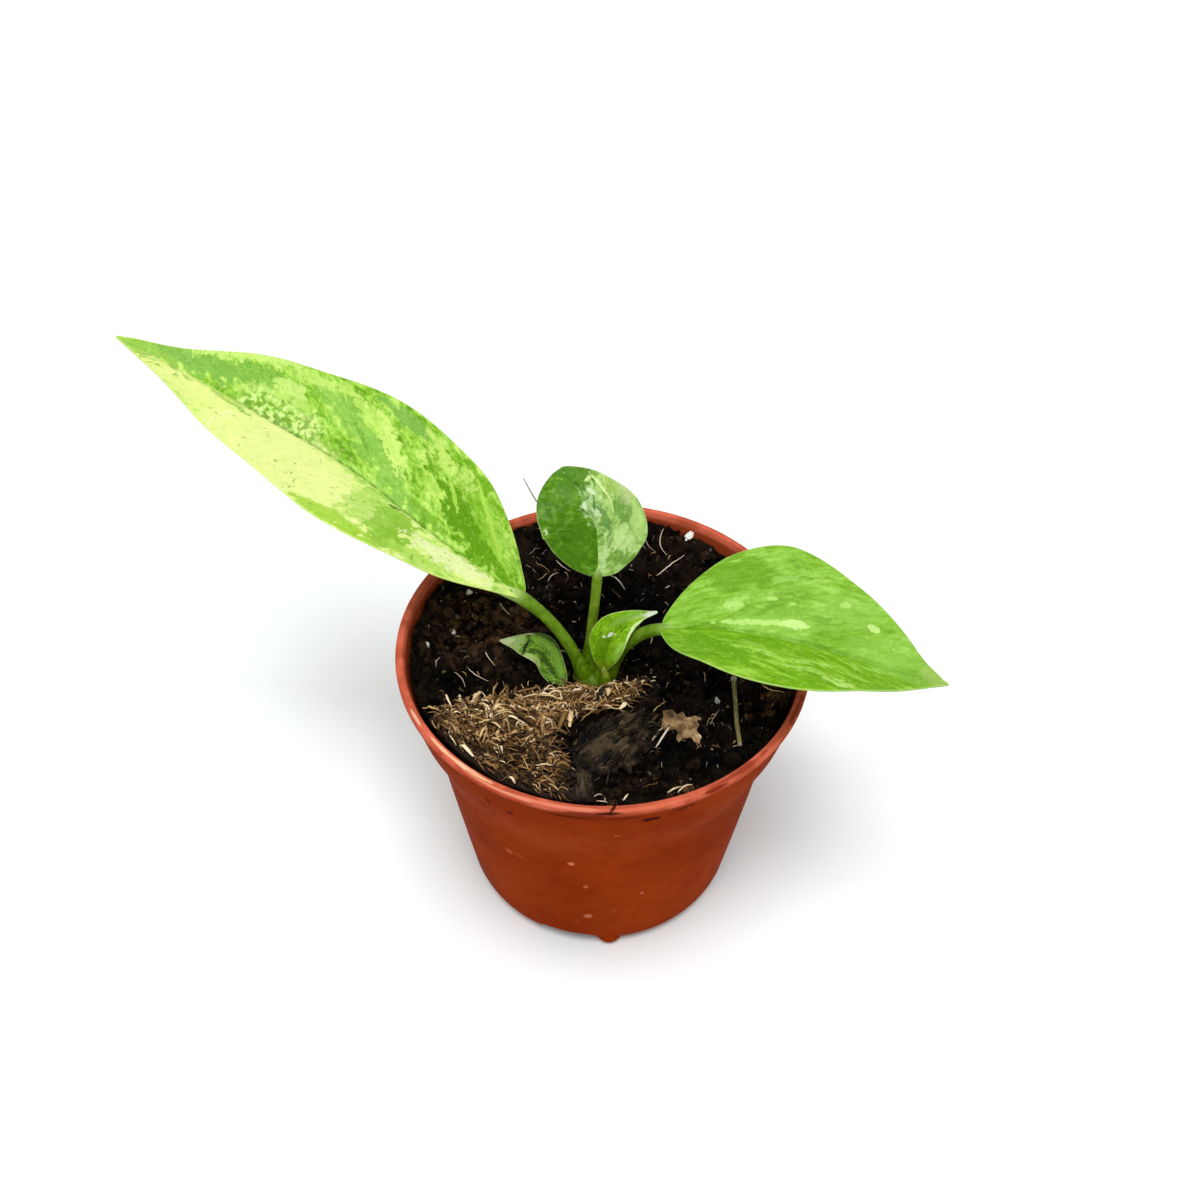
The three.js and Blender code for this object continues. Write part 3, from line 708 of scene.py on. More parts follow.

# %% Colours of the back leaf
# The pale silvery half and the pale patches and lines over its crinkles are partly the leaf's own
# paler colour and partly a painted sheen of the crinkled surface. The near-white patch 10 mm along
# and 7 mm out and the first four lines are painted highlights.
back_finish = leaf_finish(
    "back_leaf_skin", length=18.0, slope=1.0, seed=8.0,
    tones=[[(118, 160, 62), (150, 192, 92), (178, 216, 124), (206, 234, 158)],
           [(68, 116, 4), (78, 128, 10), (92, 142, 22), (118, 168, 50)]],
    patches=[
        (6, 3.4, 4.5, 3, 0, (74, 122, 10), 0.7),
        (10.4, -0.5, 2.6, 1.5, -0.3, (180, 214, 146), 0.8),
        (7.4, -1.5, 3.2, 0.7, 0.12, (104, 150, 72), 0.85),
        (8.3, -4.3, 1.5, 1.4, 0, (118, 164, 74), 0.8),
        (3, -3.4, 1.1, 2.4, 0, (108, 156, 52), 0.8),
        (5, -3.6, 1.5, 1.6, 0, (202, 232, 152), 0.75),
        (7.2, -5.9, 1.8, 0.8, 0, (192, 224, 134), 0.7),
        (15.4, -1.6, 3, 3.4, 0, (84, 134, 30), 0.95),
        (10.8, -6, 2.4, 0.9, -0.3, (200, 214, 150), 0.8),
        (11.6, -4.4, 1.6, 0.9, -0.2, (176, 206, 104), 0.7),
        (2.6, -0.9, 1.8, 0.4, -0.15, (196, 226, 160), 0.8),
        (10, 7, 0.6, 0.2, 0, (226, 245, 204), 0.9),
    ],
    stalk_tones=[(94, 124, 16), (116, 144, 34)], drawn=(0.55, 0.45), gloss=0.34, size=0.45,
    rim=0.2, rib_share=0.0, flecks=0.15, soft=0.3, rim_tone=(190, 214, 150),
    lines=[
        (13.2, -2.2, 0.2, 0.7, 0, (222, 242, 160), 0.9),
        (12.4, -2.95, 1.1, 0.17, 0.07, (232, 248, 176), 0.95),
        (10.6, -3.1, 1.1, 0.16, 0.13, (232, 248, 176), 0.95),
        (9, -2.95, 1.1, 0.14, -0.28, (206, 234, 150), 0.9),
        (11.8, -1.5, 0.8, 0.3, 0.5, (232, 247, 206), 0.7),
        (10.6, 0.5, 0.9, 0.3, -0.3, (236, 248, 214), 0.7),
        (9.2, -0.6, 0.7, 0.4, 0.4, (236, 248, 214), 0.7),
        (11.3, 0.3, 0.2, 0.9, 0, (84, 134, 44), 0.7),
        (10.2, -0.9, 1, 0.2, -0.5, (84, 134, 44), 0.8),
        (9.9, 0.9, 0.9, 0.2, 0.5, (74, 124, 34), 0.8),
        (12, -0.2, 0.7, 0.18, -0.2, (92, 142, 52), 0.8),
        (9, 0.1, 0.7, 0.2, 0.2, (96, 146, 56), 0.7),
        (12.6, 0.6, 0.7, 0.3, -0.4, (112, 158, 40), 0.7),
        (13.4, 3.4, 1.6, 0.3, 0.3, (96, 142, 24), 0.7),
        (11.8, 4.8, 1.4, 0.3, -0.4, (120, 160, 56), 0.6),
        (4.2, -2.6, 1.2, 0.12, -0.8, (222, 242, 176), 0.7),
        (13.6, -0.4, 0.9, 0.16, 0.3, (60, 104, 12), 0.7),
    ])

# %% Colours of the young leaf
young_finish = leaf_finish(
    "young_leaf_skin", length=14.0, slope=1.8, seed=12.0,
    tones=[[(98, 150, 0), (118, 170, 4), (134, 186, 16), (156, 206, 46)],
           [(94, 146, 0), (114, 166, 4), (130, 182, 16), (152, 204, 46)]],
    patches=[
        (0.5, 0, 1.3, 3, 0, (124, 142, 20), 0.9),
        (5.2, -2.3, 2.3, 0.45, -0.15, (158, 204, 84), 0.8),
        (9.2, 0.9, 2.6, 0.5, -0.15, (140, 186, 76), 0.7),
        (11.3, 0.1, 2.2, 0.35, -0.05, (196, 220, 140), 0.7),
        (3.6, 0.8, 2.4, 1.1, 0, (84, 134, 6), 0.6),
    ],
    stalk_tones=[(120, 142, 24), (140, 158, 44)], drawn=(0.8, 0.5), gloss=0.34, size=0.25,
    rim=0.12, rib_from=(5, 13), rib_share=0.4, flecks=0.3, rim_tone=(190, 222, 130),
    lines=[
        (8.4, -1.75, 1.5, 0.2, 0.84, (228, 246, 184), 0.95),
        (10.6, -0.7, 1.6, 0.16, 0.2, (232, 246, 200), 0.9),
        (12.8, 0, 1.6, 0.5, 0, (238, 243, 230), 0.95),
        # The next three lines are a painted highlight.
        (5.9, 0.45, 0.45, 0.28, -0.3, (246, 252, 238), 0.95),
        (5.3, 1.1, 0.16, 0.3, 0, (226, 244, 206), 0.8),
        (6.3, -0.2, 0.16, 0.16, 0, (236, 248, 220), 0.9),
        (7.9, -0.45, 0.7, 0.14, 0.1, (40, 76, 6), 0.9),
        (6.6, -0.9, 0.4, 0.12, 0.4, (52, 92, 8), 0.8),
    ])

# %% Colours of the curled leaf
curled_finish = leaf_finish(
    "curled_leaf_skin", length=13.0, slope=1.0, seed=15.0,
    tones=[[(50, 82, 6), (70, 106, 12), (92, 132, 26), (118, 158, 50)],
           [(56, 90, 8), (78, 116, 16), (100, 142, 30), (126, 164, 58)]],
    patches=[
        # The first three fields paint the roll of the leaf: a light band down it as painted light
        # and two dark bands beside it as painted shade.
        (5.2, -0.9, 3.6, 0.55, -0.1, (112, 152, 46), 0.8),
        (5, 0.9, 3.4, 0.45, 0.1, (34, 56, 6), 0.75),
        (6.2, -2, 2.6, 0.45, 0, (44, 72, 10), 0.75),
        (10.6, 0.4, 1.7, 2.2, 0, (150, 170, 104), 0.9),
        (6.6, 2.3, 2.2, 0.55, 0.12, (164, 184, 108), 0.9),
    ],
    stalk_tones=[(70, 96, 16), (88, 110, 30)], drawn=(0.8, 0.6), gloss=0.5, size=0.28,
    rim=0.12, rib_share=0.0, flecks=0.3,
    lines=[
        # The first two lines are painted shadow in the fold.
        (8.55, 0.9, 0.22, 2, 0, (18, 30, 4), 0.95),
        (8.9, -1.2, 0.4, 0.5, 0, (28, 44, 8), 0.8),
        (11.9, 0.3, 1.4, 0.9, 0, (194, 204, 160), 0.85),
        (9.6, -1.6, 1.6, 0.22, 0.1, (186, 196, 150), 0.85),
        (6.6, 2.7, 1.4, 0.16, 0.2, (206, 216, 168), 0.9),
    ])

# %% [markdown]
# ## Leaves
#
# An anthurium leaf is one leathery blade on a round stalk that runs on under it as its midrib.
# A blade could be modelled from a plane by hand. Here it is a grid around its midrib curve, with
# its measured half-widths at nine stations, folded upwards and rippled, so that it lies exactly
# where the packed model has it. The groove over the midrib and the low swelling between the
# veins are real relief.

# %% Measured leaves
LEAVES = {
    "left_leaf": {
        "node": "leaf_left",
        "slot": "leaf_cream",
        "stalk": [(-2.9, -2.9, 44.4), (-3.9, -2.5, 47.5), (-5.9, -1.5, 51), (-8.6, -0.3, 54)],
        "stalk_radii": [1.0, 0.9, 0.84, 0.84],
        "spine": [(-11.5, 1, 56), (-23.5, 5, 63.5), (-35, 11, 70), (-51.5, 18, 76.5),
                  (-70, 28, 80)],
        "rib_radii": [1.0, 0.8, 0.65, 0.5, 0.3],
        "side": [(-0.42, -0.91, 0), (-0.42, -0.91, 0)],
        "left": [1.3, 3.5, 7.3, 10.9, 11.3, 8.4, 4.8, 2.0, 0.5],
        "right": [3.2, 8.2, 12.6, 14.0, 12.9, 10.3, 6.0, 2.5, 0.7],
        "fold": (14, 14), "curl": -0.06, "wave": 0.35, "waves": 3.5,
        "grid": (230, 46), "crinkle": (0.1, 5.0), "relief": 0.03,
        "slope": 1.9, "vein_gap": 3.1, "finish": left_finish,
    },
    "right_leaf": {
        "node": "leaf_right",
        "slot": "leaf_green",
        "stalk": [(0.1, -2.9, 44.4), (0.4, -2.8, 45.5), (1.7, -2.9, 48.5), (3.7, -3.3, 51.8),
                  (6, -3.9, 54.6)],
        "stalk_radii": [1.05, 1.0, 0.95, 0.9, 0.9],
        "spine": [(8, -4.5, 56), (15.5, -7, 58.5), (25, -10, 59.5), (36, -11.5, 57),
                  (47.5, -10.5, 52)],
        "rib_radii": [0.85, 0.7, 0.6, 0.5, 0.3],
        "side": [(0.15, 1, 0.05), (0.15, 1, 0.05)],
        "left": [3.0, 7.5, 12.0, 13.8, 12.9, 10.2, 6.2, 2.4, 0.5],
        "right": [2.2, 5.5, 8.6, 10.8, 10.6, 7.3, 4.0, 1.9, 0.6],
        "fold": (22, 22), "curl": -0.06, "wave": 0.3, "waves": 2.5,
        "grid": (170, 46), "crinkle": (0.08, 5.0), "relief": 0.03,
        "slope": 1.75, "vein_gap": 2.8, "finish": right_finish,
    },
    "back_leaf": {
        "node": "leaf_back",
        "slot": "leaf_deep_green",
        "stalk": [(-1.6, -0.6, 44.5), (-1.9, -1.2, 47.5), (-1.7, -0.8, 52), (-1.3, 0.6, 56)],
        "stalk_radii": [0.9, 0.8, 0.72, 0.7],
        "spine": [(-1, 2.5, 59), (-1, 4.5, 62.5), (-1.5, 6.5, 66), (-3.5, 8.5, 69),
                  (-6.5, 12, 70.5)],
        "rib_radii": [0.75, 0.6, 0.5, 0.4, 0.3],
        "side": [(-1, -0.1, 0.1), (-0.85, -0.4, -0.5)],
        "left": [1.8, 4.2, 6.0, 7.3, 7.7, 7.4, 6.6, 5.0, 2.6],
        "right": [2.3, 3.8, 5.6, 6.9, 6.6, 5.0, 3.3, 1.9, 0.8],
        "fold": (12, 12), "curl": -0.05, "wave": 0.2, "waves": 2,
        "grid": (120, 36), "crinkle": (0.22, 2.2), "relief": 0.05,
        "slope": 1.0, "vein_gap": 1.9, "finish": back_finish,
    },
    "young_leaf": {
        "node": "leaf_small",
        "slot": "leaf_young",
        "stalk": [(0.8, -5, 44.3), (0.5, -5, 46)],
        "stalk_radii": [0.65, 0.6],
        "spine": [(0.2, -4.7, 47.3), (0.5, -3.9, 50.5), (1.5, -3, 53), (4.5, -2, 55),
                  (7.5, 0, 54.5)],
        "rib_radii": [0.5, 0.4, 0.32, 0.2, 0.08],
        "side": [(-0.7, 0.3, 0.2), (-0.3, 0.7, 0.4)],
        "left": [0.6, 1.3, 2.1, 2.9, 2.8, 1.9, 0.9, 0.35, 0.12],
        "right": [0.5, 1.3, 2.3, 2.9, 2.7, 1.4, 0.5, 0.25, 0.1],
        "fold": (30, 26), "curl": -0.05, "wave": 0, "waves": 1,
        "grid": (80, 22), "crinkle": (0.06, 2.0), "relief": 0.015,
        "slope": 1.8, "vein_gap": 1.2, "finish": young_finish,
    },
    "curled_leaf": {
        "node": "leaf_curled",
        "slot": "leaf_dull",
        "stalk": [(-5.2, -7, 41)],
        "stalk_radii": [0.6],
        "spine": [(-5.8, -6.2, 45.2), (-6.8, -3.9, 46.5), (-8.4, -2, 48.2), (-11.4, -0.9, 48.8),
                  (-15, 0.4, 47.6)],
        "rib_radii": [0.6, 0.5, 0.4, 0.25, 0.08],
        "side": [(-1, -0.2, 0), (-0.3, -0.9, 0.1)],
        "left": [0.9, 1.6, 2.1, 2.2, 2.5, 2.4, 1.5, 0.8, 0.25],
        "right": [0.6, 1.0, 1.3, 1.7, 2.4, 2.0, 1.1, 0.6, 0.2],
        "fold": (5, 5), "curl": -0.15, "wave": 0.15, "waves": 2,
        "grid": (80, 22), "crinkle": (0.16, 1.8), "relief": 0.04,
        "slope": 1.0, "vein_gap": 1.3, "finish": curled_finish,
    },
}
print("midribs in mm:", {name: round(path_through(leaf["spine"])[1][-1])
                         for name, leaf in LEAVES.items()})

# %% The middle sheet of a blade
BLADE_TUCK = 0.15  # the blade is this much wider than measured, so that it covers its rib
FLAT_SHARE, RIM_SHARE = 0.975, 0.025  # flat and rounded shares of the half-width


def half_width(measured, station):
    """Half-width at stations 0 to 1, smooth through the measured ones and zero at both ends."""
    widths = np.array([0, *measured, 0], float)
    mirrored = np.concatenate([[-widths[1]], widths, [-widths[-2]]])
    last = len(widths) - 1
    place = station * last
    i = np.minimum(np.floor(place).astype(int), last - 1)
    f = place - i
    a, b, c, d = (mirrored[i + k] for k in range(4))
    bend = 2 * a - 5 * b + 4 * c - d
    twist = 3 * b - a - 3 * c + d
    return np.maximum(0.5 * (2 * b + (c - a) * f + bend * f**2 + twist * f**3), 0)


def blade_frame(leaf, along):
    """Points on the midrib at shares of its length, with its sideways and upward directions."""
    dense, walked = path_through(leaf["spine"])
    ahead = unit(np.gradient(dense, axis=0))
    shares = walked / walked[-1]
    ahead = unit(np.stack([np.interp(along, shares, ahead[:, k]) for k in range(3)], axis=1))
    first, last = (np.array(v, float) for v in leaf["side"])
    side = first + (last - first) * along[:, None]
    side = unit(side - ahead * (side * ahead).sum(1, keepdims=True))
    return along_path(leaf["spine"], along), side, np.cross(ahead, side), walked[-1]


def blade_sheet(leaf, station, across):
    """The middle sheet of a blade: its points, and at each one the distances that the finish
    reads."""
    along = (1 - np.cos(np.pi * station)) / 2
    centre, side, up, whole = blade_frame(leaf, along)
    fold = np.radians(leaf["fold"][0] + (leaf["fold"][1] - leaf["fold"][0]) * along)[:, None]
    left = half_width(leaf["left"], station)[:, None]
    right = half_width(leaf["right"], station)[:, None]
    width = np.where(across > 0, left, right) + BLADE_TUCK
    out = np.abs(across) * width
    ripple = leaf["wave"] * np.sin(2 * np.pi * leaf["waves"] * along[:, None] + 2 * across)
    rise = (np.sin(fold) * out + leaf["curl"] * width * across**2
            + ripple * across**2 * np.minimum(1, width / 4))
    sheet = (centre[:, None] + side[:, None] * (np.sign(across) * np.cos(fold) * out)[..., None]
             + up[:, None] * rise[..., None])
    return sheet, out, width, along[:, None] * whole + 0 * out


def blade_columns(half):
    """Places across a blade, closest together at the midrib and at both margins."""
    inner = np.linspace(0, 1, half + 1) ** 1.3 * FLAT_SHARE
    outer = np.concatenate([inner, [0.989, 0.997, 1.0]])
    return np.concatenate([-outer[:0:-1], outer])


print("the left leaf is", round(float(sum(half_width(LEAVES["left_leaf"][half], np.array(0.4))
                                          for half in ("left", "right"))), 1), "mm broad")

# %% The skin of a blade


def blade_relief(leaf, out, width, length, across, seed):
    """The swelling between the veins, the groove over the midrib and the crinkle, in mm."""
    inside = np.clip((out - 0.8) / 2.0, 0, 1) * np.clip((width - out) / 2.0, 0, 1)
    vein = length - leaf["slope"] * out
    swell = leaf["relief"] * np.cos(2 * np.pi * vein / leaf["vein_gap"]) * inside
    groove = -0.16 * np.exp(-((out / 0.42) ** 2)) + 0.07 * np.exp(-(((out - 1.0) / 0.5) ** 2))
    flat = np.stack([out * np.sign(across), length, 0 * out], axis=-1)
    amount, lump = leaf["crinkle"]
    crinkle = amount * grain(flat.reshape(-1, 3), lump, seed).reshape(out.shape) * inside
    return swell, groove * np.clip(width / 4, 0, 1), crinkle


def end_caps(columns, sides, last):
    """Closes both ends of a blade, each column of the top with its partner on the underside."""
    partner = [k if k in (0, columns - 1) else sides - k for k in range(columns)]
    caps = []
    for start in (0, last * sides):
        for k in range(columns - 1):
            face = [start + v for v in dict.fromkeys([k, k + 1, partner[k + 1], partner[k]])]
            caps.append(face if start else face[::-1])
    return caps


def blade_shell(leaf, seed):
    """The closed skin of a blade: points, faces and the two notes of each point."""
    rows, half = leaf["grid"]
    across = blade_columns(half)[None]
    sheet, out, width, length = blade_sheet(leaf, np.linspace(0, 1, rows + 1), across)
    normal = unit(np.cross(np.gradient(sheet, axis=0), np.gradient(sheet, axis=1)))
    rim = np.clip((np.abs(across) - FLAT_SHARE) / RIM_SHARE, 0, 1)
    thick = (0.25 - 0.1 * np.abs(across)) * np.sqrt(1 - rim**2) * np.clip(width / 1.2, 0.35, 1)
    swell, groove, crinkle = blade_relief(leaf, out, width, length, across, seed)
    top = sheet + normal * (thick + swell + groove + crinkle)[..., None]
    low = sheet + normal * (crinkle + 0.5 * swell - thick)[..., None]
    columns = across.shape[1]
    low_order = np.arange(columns - 2, 0, -1)
    skin = np.concatenate([top, low[:, low_order]], axis=1)
    sides = skin.shape[1]
    faces = ring_faces(rows + 1, sides, caps=False) + end_caps(columns, sides, rows)
    order = np.concatenate([np.arange(columns), low_order])
    sign = np.broadcast_to(np.sign(across), out.shape)
    leaf_note = np.stack([out * sign, length, width - out], axis=-1)[:, order]
    is_top = np.concatenate([np.ones(columns), np.zeros(columns - 2)])
    kind = np.stack([(sign[:, order] > 0) * 1.0, np.broadcast_to(is_top, leaf_note.shape[:2]),
                     np.zeros(leaf_note.shape[:2])], axis=-1)
    return skin.reshape(-1, 3), faces, leaf_note.reshape(-1, 3), kind.reshape(-1, 3)


# %% Stalks and whole leaves
RIB_END, STALK_SIDES, STALK_SUNK = 0.96, 18, 1.6


def turn_outwards(points, faces):
    """Reverses every face where the skin would be inside out."""
    p = np.asarray(points)
    first = np.array([[face[0], face[1], face[2]] for face in faces])
    second = np.array([[face[0], face[-2], face[-1]] for face in faces if len(face) > 3])
    volume = sum(np.einsum("ij,ij->i", p[t[:, 0]], np.cross(p[t[:, 1]], p[t[:, 2]])).sum()
                 for t in (first, second))
    return [face[::-1] for face in faces] if volume < 0 else faces


def stalk_and_rib(leaf):
    """The stalk, which runs on as a rib close under the blade and thins out towards the tip."""
    along = np.linspace(0, RIB_END, 110)
    centre, _, up, whole = blade_frame(leaf, along)
    rib = np.interp(along, np.linspace(0, 1, len(leaf["rib_radii"])), leaf["rib_radii"])
    rib *= np.sqrt(np.clip((0.965 - along) / 0.22, 0.01, 1))
    scale = min(1.0, whole / 40)
    covered = np.clip(along * whole / (3.4 * scale), 0, 1)
    sink = 0.25 * scale + covered * (3 - 2 * covered) * covered * (rib * 0.95 - 0.2 * scale)
    under = centre - up * sink[:, None]
    stalk = leaf["stalk"]
    dense, walked = path_through([*stalk, leaf["spine"][0], leaf["spine"][1]])
    blade_start = PATH_STEPS * len(stalk)
    upper = dense[:blade_start:2]
    upper[0] -= (0, 0, STALK_SUNK)  # so that no cut end shows over the compost
    far = walked[blade_start] - walked[:blade_start:2]
    upper = upper - up[0] * (0.25 * scale * np.clip(1 - far / 4, 0, 1))[:, None]
    path = np.vstack([upper, under])
    knots = np.arange(len(stalk) + 1) * (PATH_STEPS // 2)
    radii = np.interp(np.arange(len(upper)), knots, [*leaf["stalk_radii"], leaf["rib_radii"][0]])
    skin, faces = tube(path, np.concatenate([radii, rib]), STALK_SIDES)
    beyond = np.concatenate([-far, along * whole])
    fade = np.clip(0.7 - beyond / (2.6 * scale), 0, 1)
    kind = np.stack([0.5 + 0 * fade, 0 * fade, fade], axis=1)
    note = np.stack([0 * fade + 1.5, beyond, 0 * fade + 9], axis=1)
    return skin, faces, *(np.repeat(rows, STALK_SIDES, axis=0) for rows in (note, kind))


def build_leaf(name, leaf, seed):
    """One leaf: its blade and its stalk as one piece."""
    blade, blade_faces, blade_note, blade_kind = blade_shell(leaf, seed)
    stalk, stalk_faces, stalk_note, stalk_kind = stalk_and_rib(leaf)
    faces = turn_outwards(blade, blade_faces)
    faces += [[v + len(blade) for v in face] for face in stalk_faces]
    notes = {"leaf": np.vstack([blade_note, stalk_note]),
             "kind": np.vstack([blade_kind, stalk_kind])}
    return make_piece(name, np.vstack([blade, stalk]), faces, leaf["finish"],
                      [leaf["node"]], notes)


for seed, (name, leaf) in enumerate(LEAVES.items()):
    build_leaf(name, leaf, 3.1 * seed)

# %% [markdown]
# ## Pot
#
# The pot is one thin moulding with a flared collar, a rolled lip, four little feet and four
# drainage notches. It could be turned with a Screw modifier; here its outline is turned in
# Python, and the notches are cut with a Boolean, which is what a Boolean is best at.

# %% Pot shape
POT_OUTLINE = [
    (0, 1.2), (3, 1.2), (12, 1.2), (18.6, 1.2), (19.4, 1.2), (20.1, 1.35), (20.6, 1.7),
    (20.95, 2.2), (21.2, 3), (22.1, 9), (23, 15.2), (23.9, 21.5), (24.7, 27.5),
    (25, 29.6), (25.2, 31), (25.55, 32.3), (26.2, 34.4), (27.1, 37), (28, 39.5),
    (28.6, 42), (29.1, 44.6), (29.4, 46.3), (29.5, 46.55), (29.8, 46.62), (29.97, 46.85),
    (30, 47.3), (29.92, 47.75), (29.7, 47.97), (29.3, 48), (28.95, 47.95), (28.8, 47.75),
    (28.6, 46.9), (28.3, 45.9), (27.7, 42.9), (26.9, 39.5), (26, 36.9), (25.1, 34.4),
    (24.4, 32.3), (24.1, 31), (23.6, 27.5), (22.4, 19.5), (21.2, 11.4), (20.1, 3.6),
    (19.8, 2.9), (19.1, 2.6), (12, 2.6), (0, 2.6),
]
POT_SEGMENTS = 240
print("the pot is", max(r for r, _ in POT_OUTLINE) * 2, "mm wide and",
      max(z for _, z in POT_OUTLINE), "mm high")

# %% Turning and cutting
NOTCH_ARCH = [(-4.5, 0.2), (-4.5, 2.6), (-4.1, 3.1), (-3.4, 3.3), (3.4, 3.3), (4.1, 3.1),
              (4.5, 2.6), (4.5, 0.2)]
NOTCH_RADIUS, FIRST_NOTCH = 20.8, -13


def turned(outline, segments):
    """A closed skin turned around the vertical axis; the outline starts and ends on it."""
    inner = outline[1:-1]
    rings = [circle(r, z, segments) for r, z in inner]
    faces = ring_faces(len(inner), segments, caps=False)
    points = np.vstack([*rings, [[0, 0, outline[0][1]]], [[0, 0, outline[-1][1]]]])
    first = len(points) - 2
    last_ring = (len(inner) - 1) * segments
    for k in range(segments):
        after = (k + 1) % segments
        faces.append((first, after, k))
        faces.append((first + 1, last_ring + k, last_ring + after))
    return points, faces


def from_front(radius, degrees, z):
    """A point at this angle from the front towards the right."""
    turn = math.radians(degrees)
    return np.array([radius * math.sin(turn), -radius * math.cos(turn), z])


def cut_notches(pot):
    """Cuts four round-topped drainage notches out of the foot."""
    cutters = Parts()
    for quarter in range(4):
        middle = from_front(NOTCH_RADIUS, FIRST_NOTCH + 90 * quarter, 0)
        outwards = unit(middle)
        sideways = np.cross((0, 0, 1), outwards)
        points = np.array([middle + sideways * u + outwards * depth + (0, 0, z)
                           for depth in (-3, 3) for u, z in NOTCH_ARCH])
        cutters.add(points, turn_outwards(points, ring_faces(2, len(NOTCH_ARCH))))
    mesh = bpy.data.meshes.new("notch_cutters")
    mesh.from_pydata((np.vstack(cutters.points) * MM).tolist(), [], cutters.faces)
    cutter = bpy.data.objects.new("notch_cutters", mesh)
    bpy.context.scene.collection.objects.link(cutter)
    modifier = pot.modifiers.new("notches", "BOOLEAN")
    modifier.object = cutter
    modifier.solver = "EXACT"
    cut = bpy.data.meshes.new_from_object(pot.evaluated_get(
        bpy.context.evaluated_depsgraph_get()))
    pot.modifiers.clear()
    pot.data = cut
    bpy.data.objects.remove(cutter)


# Feet: how far each ring lies under the foot's top, and its radius
FOOT_STEPS = [(-1.1, 1.45), (-0.5, 1.8), (0, 2), (0.25, 1.9), (0.75, 1.55), (1.1, 1.3),
              (1.25, 1.1), (1.3, 0.7)]
FOOT_SIDES, FOOT_TOP = 24, 1.3


def foot_knobs():
    """Four short tapered feet and the flat pad in the middle of the underside."""
    feet = Parts()
    for quarter in range(4):
        top = from_front(19.4, 5 + 90 * quarter, FOOT_TOP)
        path = [top - (0, 0, drop) for drop, _ in FOOT_STEPS]
        skin, faces = tube(path, [r for _, r in FOOT_STEPS], FOOT_SIDES)
        skin[:, 2] = np.repeat([p[2] for p in path], FOOT_SIDES)
        feet.add(skin, faces)
    path = [(0, 0, 1.3), (0, 0, 0.3), (0, 0, 0.08), (0, 0, 0.0)]
    feet.add(*tube(path, [3.0, 3.0, 2.9, 2.6], 40))
    return feet


print("each notch is", NOTCH_ARCH[-1][0] - NOTCH_ARCH[0][0], "mm wide")

# %% [markdown]
# The plastic is a dull orange-brown with a slight grain from the mould. The top of the lip is
# painted pale, partly as rubbed wear and partly as painted light, with painted highlights along it,
# and a thin painted shadow runs under the lip. The pot carries splashes of compost, fine scratches
# and a few pale spots. All of that is noise and height masks in the pot's own coordinates, so that
# nothing has to be unwrapped.

# %% Marks on the pot
# Each mark: degrees from the front, height, half width, half height, tone, strength
# The two long thin dark marks at 45.4 mm, just under the lip, are painted shadow of the lip.
POT_MARKS = [
    (-33.2, 24.6, 0.7, 0.7, (170, 88, 50), 0.6), (-9.5, 27.5, 0.62, 0.62, (204, 122, 86), 0.8),
    (-4.8, 20.6, 0.5, 0.6, (186, 104, 68), 0.65), (16, 17.2, 0.3, 0.4, (190, 112, 80), 0.7),
    (-4, 10.3, 0.75, 0.8, (208, 124, 94), 0.8), (13.6, 44.2, 1.4, 0.6, (66, 12, 4), 0.95),
    (22.7, 45.2, 1.4, 0.34, (80, 18, 6), 0.9), (-8, 45.4, 3, 0.28, (80, 20, 6), 0.85),
    (5, 45.4, 2.4, 0.24, (84, 22, 6), 0.8), (-32.5, 42, 0.42, 0.55, (80, 20, 6), 0.9),
    (-25.6, 41.6, 0.52, 0.5, (76, 20, 6), 0.9), (-33.3, 37.4, 0.4, 0.45, (88, 24, 6), 0.85),
    (-45.8, 31, 0.3, 0.6, (84, 26, 8), 0.7), (37.1, 32.6, 1.5, 0.3, (100, 26, 6), 0.8),
    (44.6, 31.3, 1.7, 0.34, (100, 26, 6), 0.8), (-20, 33, 6, 3, (146, 62, 18), 0.35),
    (20, 24, 7, 5, (126, 40, 4), 0.35), (-40, 15, 4, 6, (142, 54, 16), 0.3),
    (-2, 13, 5, 7, (126, 44, 4), 0.35), (38, 18, 3, 7, (118, 36, 8), 0.35),
]
# On the lip, the height is the way over the lip from its inner edge. The pale marks are painted
# highlights along the lip, and partly also rubbed wear.
LIP_MARKS = [
    (-43, 0.7, 5.2, 0.28, (246, 190, 150), 0.85), (-27, 1.25, 4.4, 0.22, (236, 158, 124), 0.7),
    (-60, 0.9, 1.6, 0.22, (240, 196, 170), 0.6), (-36, 1.5, 7, 0.22, (176, 60, 40), 0.6),
    (-10, 1, 4.5, 0.3, (222, 132, 104), 0.7), (-5, 1.75, 3.6, 0.24, (96, 30, 14), 0.75),
    (3, 0.8, 0.22, 0.9, (52, 16, 8), 0.95), (1.6, 1.5, 1.3, 0.2, (58, 18, 8), 0.9),
    (14, 1.1, 4, 0.35, (216, 112, 80), 0.6), (30, 1.3, 1.6, 0.3, (112, 30, 16), 0.8),
    (40, 0.8, 4, 0.3, (120, 36, 22), 0.6), (50, 1.4, 2, 0.4, (206, 110, 84), 0.6),
    (66, 1, 2.4, 0.5, (108, 36, 24), 0.6), (80, 0.9, 2.4, 0.5, (120, 40, 30), 0.6),
]
print(len(POT_MARKS), "marks on the wall and", len(LIP_MARKS), "on the lip")

# %% Pot finish
MARK_RADIUS = 25.0  # the degrees of the marks are measured on a wall of this radius
MM_IN_METRE = 1000.0


def lay_marks(finish, colour, marks, around, height, uneven, edge, shown, slant=0.0):
    """Ovals of colour on the pot, in mm around it and upwards; slant draws them askew."""
    for degrees, at, half_wide, half_high, tone, strength in marks:
        across = around - math.radians(degrees) * MARK_RADIUS
        if slant:
            across = across + (height - at) * slant
        across, up = across / half_wide, (height - at) / half_high
        reach = (across * across + up * up).maths("SQRT") + uneven
        colour = finish.blend(reach.step(*edge) * shown * strength, colour, paint(*tone))
    return colour


